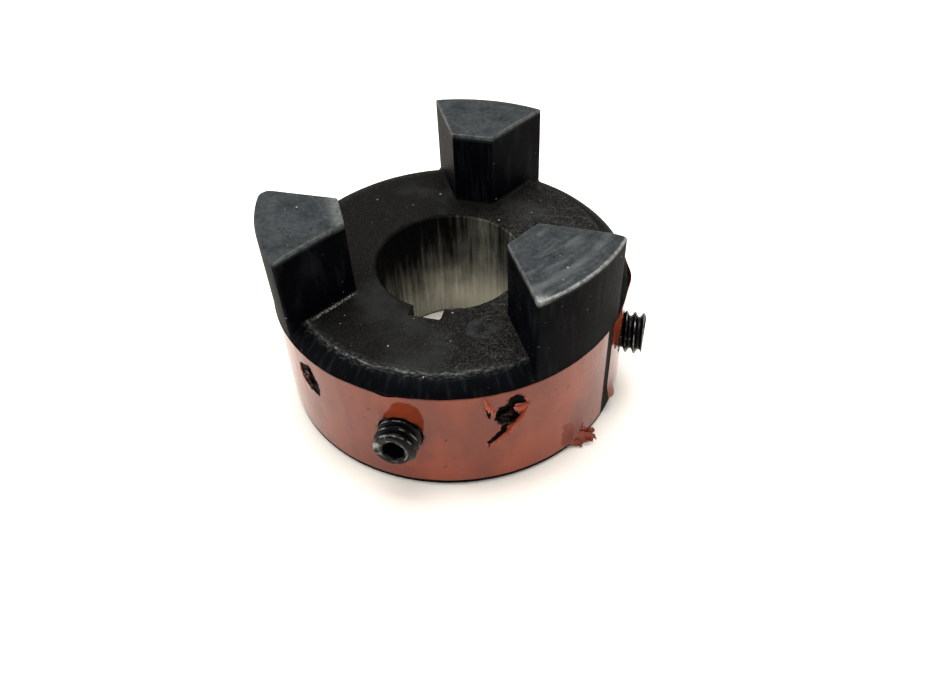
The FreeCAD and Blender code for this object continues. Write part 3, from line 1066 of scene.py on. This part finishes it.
@dataclass
class RimLabel:
    """The label film round the rim: one wrap, with its seam, tears, lifted places and shreds.

    Places on the film are (along, height): along is the length round the rim from +X, which is
    negative clockwise seen from the front. A scrap is (along, height, size).
    """

    cell: float = 0.33
    stand_off: float = 0.012
    bottom_margin: float = 0.45
    seam_along: float = -7.8
    seam_gap: float = 1.7
    screw_height: float = 11.1
    screw_hole_radius: float = 3.32
    kink_along: float = -43.6
    kink_depth: float = 0.55
    wrinkle: float = 0.012
    raggedness: float = 0.16
    thickness: float = 0.05
    tears: tuple[tuple[Point, ...], ...] = (
        (
            (-26.9, 17.3), (-26.3, 17.8), (-25.6, 17.7), (-24.9, 17.0), (-24.1, 15.3), (-25.4, 16.0),
            (-26.2, 16.1), (-26.3, 15.2), (-25.4, 13.6), (-26.5, 12.4), (-27.3, 11.7), (-27.4, 10.8),
            (-28.3, 9.7), (-29.4, 9.0), (-29.8, 8.0), (-30.1, 9.3), (-29.0, 10.4), (-28.2, 11.3),
            (-28.0, 12.4), (-28.9, 13.6), (-28.9, 14.8), (-28.3, 16.0), (-27.2, 16.3),
        ),
        ((-30.2, 16.4), (-29.5, 15.8), (-29.4, 15.0), (-29.7, 14.0), (-30.1, 15.1)),
        (
            (-59.7, 15.9), (-58.0, 17.0), (-56.8, 17.3), (-56.1, 16.0), (-55.5, 14.3), (-55.4, 12.9),
            (-56.0, 11.5), (-57.4, 12.1), (-58.9, 12.8), (-59.5, 14.3),
        ),
        ((-15.6, 0.0), (-15.2, 2.4), (-14.2, 3.1), (-13.2, 2.6), (-12.6, 0.0)),
        ((-177.0, 0.0), (-177.0, 2.9), (-175.4, 3.3), (-174.2, 2.8), (-173.0, 3.4), (-171.8, 0.0)),
    )
    lifts: tuple[Lift, ...] = (
        Lift(-26.0, 14.6, 1.2, 2.4, 0.35),
        Lift(-29.4, 16.4, 0.9, 1.6, 0.25),
        Lift(-57.6, 14.4, 1.4, 2.6, 0.22),
        Lift(-174.2, 2.9, 1.6, 1.7, 0.85),
        Lift(-164.4, 18.0, 2.4, 2.2, 0.5),
        Lift(-15.0, 2.2, 1.6, 2.0, 0.4),
        Lift(-44.6, 13.8, 1.2, 1.6, 0.16),
    )
    lips: tuple[Lip, ...] = (
        Lip(
            ((-24.2, 15.2), (-25.3, 13.7), (-26.4, 12.3), (-27.3, 10.8), (-29.2, 9.0)),
            0.8, (0.55, -0.35), 0.8, 1.0,
        ),
        Lip(((-26.4, 15.6), (-25.4, 15.5), (-24.2, 15.3)), 0.8, (0.3, -0.8), 0.9, 2.0),
        Lip(((-30.3, 18.4), (-29.8, 17.2), (-28.9, 15.7)), 1.0, (-0.6, -0.5), 0.8, 3.0),
        Lip(((-59.6, 15.6), (-59.4, 14.2), (-58.8, 12.9), (-57.4, 12.1)), 0.22, (-0.3, -0.4), 0.8, 4.0),
    )
    scraps: tuple[tuple[float, float, float], ...] = (
        (-27.6, 14.2, 1.7), (-26.8, 12.9, 1.3), (-28.1, 13.2, 1.2), (-27.0, 15.0, 1.0),
        (-57.3, 15.6, 1.5), (-57.0, 13.6, 1.4), (-57.9, 14.6, 1.2),
    )
    shreds: tuple[Shred, ...] = (
        Shred(-15.6, 1.9, 3.0, 2.1, 2.3, 51.0),
        Shred(-14.6, 2.7, 2.3, 1.3, 2.0, 57.0),
        Shred(-16.1, 1.3, 1.8, 1.2, 1.2, 63.0),
    )
    low: float = field(init=False)
    high: float = field(init=False)
    radius: float = field(init=False)

    def __post_init__(self) -> None:
        """Read the film's sizes from the frame."""
        low, high = box_mm("rim_label")
        hub_low, hub_high = box_mm("hub_body")
        self.low = float(low[2]) + self.bottom_margin
        self.high = float(high[2])
        self.radius = float(hub_high[0] - hub_low[0]) / 2

    def build(self, material: bpy.types.Material) -> bpy.types.Object:
        """Make the film and dress it.

        Args:
            material: Its finish.

        Returns:
            The piece.
        """
        sheets = [self._wrap(), *map(self._curl, self.lips), *map(self._hang, self.shreds), *self._scraps()]
        vertices, faces, torn, grime = join_sheets(sheets)
        obj = new_object("label_wrap", vertices, faces)
        store_mask(obj.data, Mask.TORN_AND_LIT, torn)
        store_mask(obj.data, Mask.GRIME_AND_SHADE, grime)
        self._face_outwards(obj.data)
        thicken = obj.modifiers.new("film_thickness", "SOLIDIFY")
        thicken.thickness = self.thickness * MM
        thicken.offset = 1.0
        replace_mesh(obj)
        sharpen(obj.data, 50.0)
        dress(obj, material)
        return obj

    def _face_outwards(self, mesh: bpy.types.Mesh) -> None:
        """Turn the film's faces away from the rim."""
        with opened(mesh) as shape:
            bmesh.ops.remove_doubles(shape, verts=shape.verts, dist=0.002 * MM)
            for face in shape.faces:
                middle = face.calc_center_median()
                if face.normal.dot(Vector((middle.x, middle.y, 0.0))) < 0.0:
                    face.normal_flip()

    def _on_rim(self, along: np.ndarray, height: np.ndarray, rise: np.ndarray) -> np.ndarray:
        """Bend flat places round the rim.

        Args:
            along: Lengths round the rim.
            height: Heights above the back face.
            rise: How far each place stands off the rim.

        Returns:
            Points, one in each row.
        """
        angle = along / self.radius
        reach = self.radius + rise
        return places(reach * np.cos(angle), reach * np.sin(angle), height)

    def _rise(self, along: np.ndarray, height: np.ndarray) -> np.ndarray:
        """Work out how far the film stands off the rim."""
        rise = np.full_like(along, self.stand_off)
        for lift in self.lifts:
            across = (along - lift.along) / lift.reach_along
            up = (height - lift.height) / lift.reach_height
            rise += lift.rise * np.exp(-(across**2) - up**2)
        return rise + self.wrinkle * (1.0 + noise_at(places(along * 0.5, height * 0.35), 0.9, 13.0))

    def _gap_distance(self, along: np.ndarray, height: np.ndarray) -> np.ndarray:
        """Measure how far each place is inside the film, negative where it is ripped away."""
        side = self.radius * TURN
        above = height - self.screw_height
        to_screw = np.minimum(np.hypot(along + side / 4.0, above), np.hypot(along + side, above))
        distance = np.minimum(9.0, to_screw - self.screw_hole_radius)
        for outline in self.tears:
            distance = np.minimum(distance, -outline_depth(along, height, np.array(outline)))
        rough = (np.abs(distance) < 1.0) & (to_screw >= self.screw_hole_radius + 1.0)
        distance[rough] += self.raggedness * noise_at(places(along[rough], height[rough]), 1.9, 43.0)
        return distance

    def _wrap(self) -> "Sheet":
        """Make the wrapped film, with its tears cut to their outlines."""
        start = self.seam_along - self.seam_gap / 2
        end = self.seam_along + self.seam_gap / 2 - self.radius * TURN
        columns = int((start - end) / self.cell) + 1
        rows = int((self.high - self.low) / self.cell) + 1
        along, height = grid_places(np.linspace(start, end, columns), np.linspace(self.low, self.high, rows))
        height = height + self._ragged(along, height)
        distance = self._gap_distance(along, height)
        small = self.cell * 0.1
        slope_along = (self._gap_distance(along + small, height) - distance) / small
        slope_height = (self._gap_distance(along, height + small) - distance) / small
        steep = np.maximum(np.hypot(slope_along, slope_height), 0.3)
        pull = np.where(np.abs(distance) < self.cell * 0.62, distance, 0.0)
        along = along - pull * slope_along / steep**2
        height = height - pull * slope_height / steep**2
        height = np.clip(height, self.low - 0.2, self.high + 0.1)
        distance = self._gap_distance(along, height)
        rise = self._rise(along, height)
        quads = grid_faces(columns, rows)
        is_left = self._gap_distance(along[quads].mean(axis=1), height[quads].mean(axis=1)) > 0.0
        flat = places(along, height)
        torn = smooth_step(distance, 0.30, 0.02) * smooth_step(noise_at(flat, 0.7, 71.0), -0.1, 0.5)
        past_side_screw = along < -170.0
        # Painted light: the lifted flap past the side screw is painted lighter orange because it faces the
        # light differently.
        torn = np.maximum(torn, smooth_step(rise, 0.7, 1.3) * past_side_screw)
        # Darker along the tears' edges.
        grime = smooth_step(distance, 0.35, 0.05) * smooth_step(noise_at(flat, 0.8, 83.0), -0.2, 0.3) * 0.8
        # Painted shade: the film's top edge and the narrow band below it are darkened where the upward edge
        # would catch the light.
        grime = np.maximum(grime, 0.75 * smooth_step(height, self.high - 0.20, self.high - 0.02))
        return Sheet(self._on_rim(along, height, rise), quads[is_left], torn * 0.8, grime)

    def _ragged(self, along: np.ndarray, height: np.ndarray) -> np.ndarray:
        """Make the film's two long edges a little uneven."""
        line = places(along, 0.0)
        wave = 0.10 * noise_at(line, 0.35, 31.0) + 0.05 * noise_at(line, 1.6, 37.0)
        share = np.abs(height - (self.low + self.high) / 2) / ((self.high - self.low) / 2)
        off_kink = (along - self.kink_along) / 1.5
        kink = -self.kink_depth * np.exp(-(off_kink**2)) * (height > self.screw_height - 0.1)
        return (wave + kink) * share**4

    def _curl(self, lip: Lip) -> "Sheet":
        """Make one curled lip along a tear's edge."""
        steps, across = 26, 7
        path = np.array(lip.path)
        place = np.linspace(0.0, len(path) - 1.0, steps)
        along = np.interp(place, np.arange(len(path)), path[:, 0])
        height = np.interp(place, np.arange(len(path)), path[:, 1])
        share = np.linspace(0.0, 1.0, across)
        width = lip.width * (0.55 + 0.9 * np.abs(noise_at(places(along, height), 1.4, lip.seed * 7.0)))
        width *= np.sin(np.linspace(0.12, math.pi - 0.12, steps)) ** 0.5
        turn = share * lip.curl
        out = np.outer(width, np.sin(turn) / max(lip.curl, 0.1) * 1.25)
        over = np.outer(width, (1.0 - np.cos(turn)) / max(lip.curl, 0.1) + share * 0.25)
        cloud = places(np.repeat(along, across), np.repeat(height, across), np.tile(share, steps) * 2.0)
        crumple = 0.12 * noise_at(cloud, 1.8, lip.seed)
        lean = np.array(lip.lean)
        grid_along = along[:, None] + over * lean[0]
        grid_height = height[:, None] + over * lean[1]
        rise = self._rise(along, height)[:, None] + out + crumple.reshape(steps, across) * share
        points = self._on_rim(grid_along.ravel(), grid_height.ravel(), rise.ravel())
        # The lips take the lighter ripped-edge colour, partly painted light on their upturned faces.
        return Sheet.from_grid(points, steps, across, 0.9, 0.0)

    def _scraps(self) -> list["Sheet"]:
        """Make the sooty crumpled scraps that stick to the rim inside the tears."""
        scraps = []
        for number, (along, height, size) in enumerate(self.scraps):
            count = 12
            spread = np.linspace(-0.5, 0.5, count) * size
            one, two = grid_places(spread, spread * 0.7)
            cloud = places(one, two, float(number))
            edge = 0.45 * noise_at(cloud, 1.5, 91.0)
            rise = 0.12 + 0.75 * np.abs(noise_at(cloud, 1.3, 97.0)) + 0.25 * noise_at(cloud, 3.0, 99.0)
            points = self._on_rim(along + one + edge, height + two - edge, np.maximum(rise, 0.03))
            scraps.append(Sheet.from_grid(points, count, count, 0.0, 0.97))
        return scraps

    def _hang(self, shred: Shred) -> "Sheet":
        """Make one crumpled shred that hangs from the film's lower edge."""
        steps, across = 14, 8
        out, side = grid_places(np.linspace(0.0, 1.0, steps), np.linspace(-0.5, 0.5, across))
        cloud = places(out * 3.0, side * 4.0)
        fold = noise_at(cloud, 1.5, shred.seed)
        taper = 1.0 - 0.55 * out**2 + 0.3 * noise_at(cloud, 1.1, shred.seed + 3.0)
        along = shred.along + side * shred.width * 0.5 * taper + out * shred.sway
        height = shred.height + side * shred.width * taper - out * 0.9 + fold * 0.55 * out
        rise = self.stand_off + 0.12 + shred.length * (0.25 * out + 0.35 * out**2)
        rise += 0.55 * out * noise_at(cloud, 2.1, shred.seed + 9.0)
        points = self._on_rim(along, np.maximum(height, 0.25), np.maximum(rise, 0.1))
        torn = 0.15 + 0.60 * np.abs(noise_at(cloud, 2.0, shred.seed + 5.0))
        return Sheet.from_grid(points, steps, across, torn, 0.0)


@dataclass
class Sheet:
    """A patch of film: its points, its faces, and how much each point takes of the lighter ripped-edge
    colour, partly painted light, and of the near-black colour, partly painted shade.
    """

    points: np.ndarray
    faces: np.ndarray
    torn: np.ndarray
    grime: np.ndarray

    @classmethod
    def from_grid(cls, points: np.ndarray, steps: int, across: int, torn: Any, grime: Any) -> "Sheet":
        """Make a sheet from a grid of points, with one look for all of them or one for each."""
        looks = (np.broadcast_to(value, steps * across).astype(float) for value in (torn, grime))
        return cls(points, grid_faces(steps, across), *looks)


def grid_faces(steps: int, across: int) -> np.ndarray:
    """List the faces of a grid of points.

    Args:
        steps: Points the long way.
        across: Points the short way.

    Returns:
        Four point numbers in each row.
    """
    numbers = np.arange(steps * across).reshape(steps, across)
    corners = [numbers[:-1, :-1], numbers[1:, :-1], numbers[1:, 1:], numbers[:-1, 1:]]
    return np.stack(corners, axis=-1).reshape(-1, 4)


def join_sheets(sheets: Iterable[Sheet]) -> tuple[np.ndarray, ...]:
    """Put several sheets into one list of points and faces, without unused points.

    Args:
        sheets: The sheets.

    Returns:
        Points, faces, torn values and grime values.
    """
    points, faces, torn, grime, count = [], [], [], [], 0
    for sheet in sheets:
        used = np.unique(sheet.faces)
        numbers = np.zeros(len(sheet.points), int)
        numbers[used] = np.arange(len(used)) + count
        points.append(sheet.points[used])
        faces.append(numbers[sheet.faces])
        torn.append(sheet.torn[used])
        grime.append(sheet.grime[used])
        count += len(used)
    return tuple(np.concatenate(parts) for parts in (points, faces, torn, grime))


def outline_depth(along: np.ndarray, height: np.ndarray, outline: np.ndarray) -> np.ndarray:
    """Measure how deep places lie inside a closed outline, negative outside it.

    Args:
        along: The places' first numbers.
        height: The places' second numbers.
        outline: The outline's corners, one in each row.

    Returns:
        One depth for each place.
    """
    low, high = outline.min(axis=0) - 3.0, outline.max(axis=0) + 3.0
    near = (along > low[0]) & (along < high[0]) & (height > low[1]) & (height < high[1])
    result = np.full_like(along, -3.0)
    x, y = along[near], height[near]
    nearest = np.full_like(x, 9.0)
    inside = np.zeros(len(x), bool)
    for (x0, y0), (x1, y1) in zip(outline, np.roll(outline, -1, axis=0)):
        span = (x1 - x0) ** 2 + (y1 - y0) ** 2
        share = np.clip(((x - x0) * (x1 - x0) + (y - y0) * (y1 - y0)) / span, 0.0, 1.0)
        nearest = np.minimum(nearest, np.hypot(x - x0 - share * (x1 - x0), y - y0 - share * (y1 - y0)))
        crosses = (y0 > y) != (y1 > y)
        inside ^= crosses & (x < (x1 - x0) * (y - y0) / np.where(y1 == y0, 1.0, y1 - y0) + x0)
    result[near] = np.where(inside, nearest, -nearest)
    return result


# ---------------------------------------------------------------------------- the set screws


class ScrewTree:
    """The Geometry Nodes tree that makes a socket set screw's threaded shank."""

    INPUTS: tuple[tuple[str, str, Any], ...] = (
        ("Start", "NodeSocketFloat", 22.96),
        ("End", "NodeSocketFloat", 30.15),
        ("Major Radius", "NodeSocketFloat", 3.175),
        ("Root Radius", "NodeSocketFloat", 2.4876),
        ("Pitch", "NodeSocketFloat", 1.27),
        ("Crest Width", "NodeSocketFloat", 0.15875),
        ("Point Radius", "NodeSocketFloat", 2.3),
        ("Point Chamfer", "NodeSocketFloat", 0.45),
        ("End Chamfer", "NodeSocketFloat", 0.4),
        ("Socket Width", "NodeSocketFloat", 3.175),
        ("Socket Depth", "NodeSocketFloat", 3.3),
        ("Drill Depth", "NodeSocketFloat", 0.7),
        ("Height", "NodeSocketFloat", 11.1),
        ("Turn", "NodeSocketFloat", 0.0),
        ("Segments", "NodeSocketInt", 96),
        ("Rows Per Turn", "NodeSocketInt", 18),
        ("Material", "NodeSocketMaterial", None),
    )
    SOCKET_ROWS = 6
    RUBBED_FROM, RUBBED_TO = 3.05, 3.17

    def __init__(self) -> None:
        """Build the tree."""
        self.tree = bpy.data.node_groups.new("SetScrew", "GeometryNodeTree")
        self.sockets: dict[str, str] = {}
        for label, kind, value in self.INPUTS:
            socket = self.tree.interface.new_socket(label, in_out="INPUT", socket_type=kind)
            if value is not None:
                socket.default_value = value
            self.sockets[label] = socket.identifier
        self.tree.interface.new_socket("Geometry", in_out="OUTPUT", socket_type="NodeSocketGeometry")
        self.graph = Graph(self.tree)
        self.inlet = self.graph.inlet()
        self._build()

    def _build(self) -> None:
        """Bend a grid into the screw and dress it."""
        graph, inlet = self.graph, self.inlet
        length = inlet["End"] - inlet["Start"]
        turns = length / inlet["Pitch"] + 1.0
        thread_rows = graph.math("CEIL", turns * inlet["Rows Per Turn"])
        rows = thread_rows + float(self.SOCKET_ROWS + 2)
        columns = inlet["Segments"] + 1.0
        grid = graph.first("GeometryNodeMeshGrid", {"Vertices X": columns, "Vertices Y": rows})
        index = graph.first("GeometryNodeInputIndex")
        column = graph.math("FLOOR", (index + 0.5) / rows)
        row = index - column * rows
        angle = column / inlet["Segments"] * TURN
        radius, along, crest = self._thread(angle, row - 1.0)
        radius, along = self._ends(angle, row, thread_rows, radius, along)
        rim = graph.math("COMPARE", row, thread_rows + 2.0, 0.5)
        crest = crest.at_least(rim)
        sideways = radius * graph.math("COSINE", angle)
        upward = radius * graph.math("SINE", angle)
        place = graph.place_at(sideways, upward, along)
        scaled = graph.first("ShaderNodeVectorMath", {0: place, "Scale": MM}, operation="SCALE")
        shape = graph.first("GeometryNodeSetPosition", {"Geometry": grid, "Position": scaled})
        inputs = {"Geometry": shape, "Name": Mask.CREST.value, "Value": crest}
        shape = graph.first("GeometryNodeStoreNamedAttribute", inputs, data_type="FLOAT", domain="POINT")
        shape = graph.first("GeometryNodeMergeByDistance", {"Geometry": shape, "Distance": 0.004 * MM})
        turn = graph.place_at(0.0, TURN / 4, inlet["Turn"])
        rise = graph.place_at(0.0, 0.0, inlet["Height"] * MM)
        inputs = {"Geometry": shape, "Rotation": turn, "Translation": rise}
        shape = graph.first("GeometryNodeTransform", inputs)
        shape = graph.first("GeometryNodeRealizeInstances", {"Geometry": shape})
        shape = graph.first("GeometryNodeSetMaterial", {"Geometry": shape, "Material": inlet["Material"]})
        graph.feed(self.tree.nodes.new("NodeGroupOutput").inputs[0], shape)

    def _thread(self, angle: Term, row: Term) -> tuple[Term, Term, Term]:
        """Work out the thread's radius, its place on the axis, and how near its crest it is."""
        graph, inlet = self.graph, self.inlet
        lead = angle / TURN - 1.0
        steps = (row - 1.0) / inlet["Rows Per Turn"] + lead
        along = inlet["Start"] + steps * inlet["Pitch"]
        along = along.at_least(inlet["Start"]).at_most(inlet["End"])
        phase = along / inlet["Pitch"] - angle / TURN
        off_crest = abs(graph.math("FRACT", phase + 0.5) - 0.5)
        off_crest = off_crest * inlet["Pitch"]
        fall = (off_crest - inlet["Crest Width"] / 2.0).at_least(0.0)
        radius = inlet["Major Radius"] - fall / math.tan(math.radians(30.0))
        radius = radius.at_least(inlet["Root Radius"])
        crest = radius.ramp(self.RUBBED_FROM, self.RUBBED_TO)
        return self._limit(radius, along), along, crest

    def _limit(self, radius: Term, along: Term) -> Term:
        """Keep the thread inside the chamfers of both ends."""
        inlet = self.inlet
        past_start = (along - inlet["Start"]) / inlet["Point Chamfer"]
        growth = past_start * (inlet["Major Radius"] - inlet["Point Radius"])
        radius = radius.at_most(inlet["Point Radius"] + growth)
        to_end = inlet["End"] - along
        return radius.at_most(inlet["Major Radius"] + to_end - inlet["End Chamfer"])

    def _ends(
        self, angle: Term, row: Term, thread_rows: Term, radius: Term, along: Term
    ) -> tuple[Term, Term]:
        """Add the flat point end, and the hexagon socket in the outer end."""
        graph, inlet = self.graph, self.inlet
        sixth = TURN / 6
        folded = angle % sixth - sixth / 2
        half_width = inlet["Socket Width"] / 2.0
        hexagon = half_width / graph.math("COSINE", folded)
        floor = inlet["End"] - inlet["Socket Depth"]
        bevel = inlet["End Chamfer"] * 0.5
        corner = half_width / math.cos(sixth / 2)
        socket = (
            (corner + bevel, inlet["End"]),
            (hexagon, inlet["End"] - bevel),
            (hexagon, inlet["End"] - inlet["Socket Depth"] * 0.5),
            (hexagon, floor),
            (half_width * 0.98, floor),
            (0.0, floor - inlet["Drill Depth"]),
        )
        for number, (socket_radius, socket_along) in enumerate(socket, start=2):
            is_past = row > thread_rows + (number - 0.5)
            radius = graph.blend(is_past, radius, socket_radius)
            along = graph.blend(is_past, along, socket_along)
        is_centre = row < 0.5
        return graph.blend(is_centre, radius, 0.0), graph.blend(is_centre, along, inlet["Start"])


@dataclass
class SetScrew:
    """One set screw: its threaded shank, made to the designed node's place."""

    node: str
    body: Body
    azimuth: float
    cup_node: str

    def build(self, tree: ScrewTree, material: bpy.types.Material) -> bpy.types.Object:
        """Make the shank and dress it.

        Args:
            tree: The tree that makes shanks.
            material: Its finish.

        Returns:
            The piece.
        """
        low, high = box_mm(self.node)
        direction = np.array([math.cos(self.azimuth), math.sin(self.azimuth), 0.0])
        reaches = sorted(float(corner @ direction) for corner in (low, high))
        obj = link(self.node + "_shank", bpy.data.meshes.new(self.node + "_shank"))
        modifier = obj.modifiers.new("set_screw", "NODES")
        modifier.node_group = tree.tree
        values = {
            "Start": reaches[0],
            "End": reaches[1],
            "Height": float(low[2] + high[2]) / 2,
            "Turn": self.azimuth,
            "Material": material,
        }
        for label, value in values.items():
            modifier[tree.sockets[label]] = value
        replace_mesh(obj)
        with opened(obj.data) as shape:
            bmesh.ops.recalc_face_normals(shape, faces=shape.faces)
        sharpen(obj.data, 28.0)
        return obj


# ---------------------------------------------------------------------------- the studio


@dataclass
class Studio:
    """The pale table, the soft light and the camera."""

    eye: tuple[float, float, float] = (30.71, -92.94, 98.80)
    azimuth: float = 17.247
    elevation: float = 45.025
    roll: float = -3.278
    lens: float = 31.752
    table_size: float = 1600.0
    sky: float = 0.95
    key_power: float = 5.8
    side_power: float = 0.928
    sky_colour: Colour = (1.0, 0.985, 0.965)
    key_colour: Colour = (1.0, 0.985, 0.96)
    side_colour: Colour = (1.0, 1.0, 1.0)

    def build(self) -> None:
        """Set up everything round the object."""
        self._table()
        self._light()
        self._camera()

    def _table(self) -> None:
        """Lay the table under the object."""
        half = self.table_size / 2
        corners = np.array([[-half, -half, 0.0], [half, -half, 0.0], [half, half, 0.0], [-half, half, 0.0]])
        table = new_object("table", corners, [[0, 1, 2, 3]])
        table.data.materials.append(TableFinish().build())

    def _light(self) -> None:
        """Hang a large soft light above, with a weaker one on the left, and fill from all round."""
        world = bpy.data.worlds.new("studio_air")
        bpy.context.scene.world = world
        world.use_nodes = True
        background = world.node_tree.nodes["Background"]
        background.inputs["Color"].default_value = with_alpha(self.sky_colour)
        background.inputs["Strength"].default_value = self.sky
        self._area("key_light", (-20.0, 150.0, 640.0), 520.0, self.key_power, self.key_colour)
        self._area("side_light", (-520.0, -160.0, 300.0), 260.0, self.side_power, self.side_colour)

    def _area(
        self, name: str, place: tuple[float, float, float], size: float, power: float, colour: Colour
    ) -> None:
        """Hang one square light that faces the object."""
        lamp = bpy.data.lights.new(name, "AREA")
        lamp.size = size * MM
        lamp.energy = power
        lamp.color = colour
        obj = link(name, lamp)
        obj.location = Vector(place) * MM
        obj.rotation_euler = Vector(place).to_track_quat("Z", "Y").to_euler()

    def _camera(self) -> None:
        """Place the camera at the object's usual view."""
        azimuth, elevation, roll = map(math.radians, (self.azimuth, self.elevation, self.roll))
        level = math.cos(elevation)
        back = Vector((math.sin(azimuth) * level, -math.cos(azimuth) * level, math.sin(elevation)))
        right = Vector((math.cos(azimuth), math.sin(azimuth), 0.0))
        up = back.cross(right)
        rolled_right = right * math.cos(roll) + up * math.sin(roll)
        rolled_up = up * math.cos(roll) - right * math.sin(roll)
        camera = bpy.data.cameras.new("camera")
        camera.lens = self.lens
        camera.sensor_width = 36.0
        camera.clip_start = 0.005
        camera.clip_end = 10.0
        obj = link("camera", camera)
        axes = Matrix((rolled_right, rolled_up, back)).transposed()
        obj.matrix_world = Matrix.Translation(Vector(self.eye) * MM) @ axes.to_4x4()
        bpy.context.scene.camera = obj
        bpy.context.scene.view_settings.view_transform = "Standard"


def settle(piece: bpy.types.Object, body: Body, slot: Slot, *nodes: str) -> None:
    """Say where a finished piece belongs, and report it.

    Args:
        piece: The piece.
        body: The body that it rides on.
        slot: The slot that it would take its finish from. Not used.
        *nodes: The designed nodes that it stands for.
    """
    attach(piece, body.value)
    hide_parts(*nodes)
    LOG.info("%s: %d faces on %s", piece.name, len(piece.data.polygons), body.value)


def main() -> None:
    """Build the pieces in order and report each one."""
    logging.basicConfig(level=logging.INFO, format="%(name)s: %(message)s")
    effects = Effects()
    iron = IronFinish().build(effects)
    film = FilmFinish().build(effects)
    steel = BlackOxideFinish().build(effects)
    settle(HubCasting().build(iron), Body.HUB, Slot.IRON, "hub_body")
    settle(RimLabel().build(film), Body.HUB, Slot.FILM, "rim_label")
    tree = ScrewTree()
    screws = (
        SetScrew("front_set_screw", Body.FRONT_SCREW, -TURN / 4, "front_set_screw_cup_point"),
        SetScrew("side_set_screw", Body.SIDE_SCREW, 0.0, "side_set_screw_cup_point"),
    )
    for screw in screws:
        settle(screw.build(tree, steel), screw.body, Slot.STEEL, screw.node)
        dress(frame["nodes"][screw.cup_node], steel)
    Studio().build()


if __name__ == "__main__":
    main()
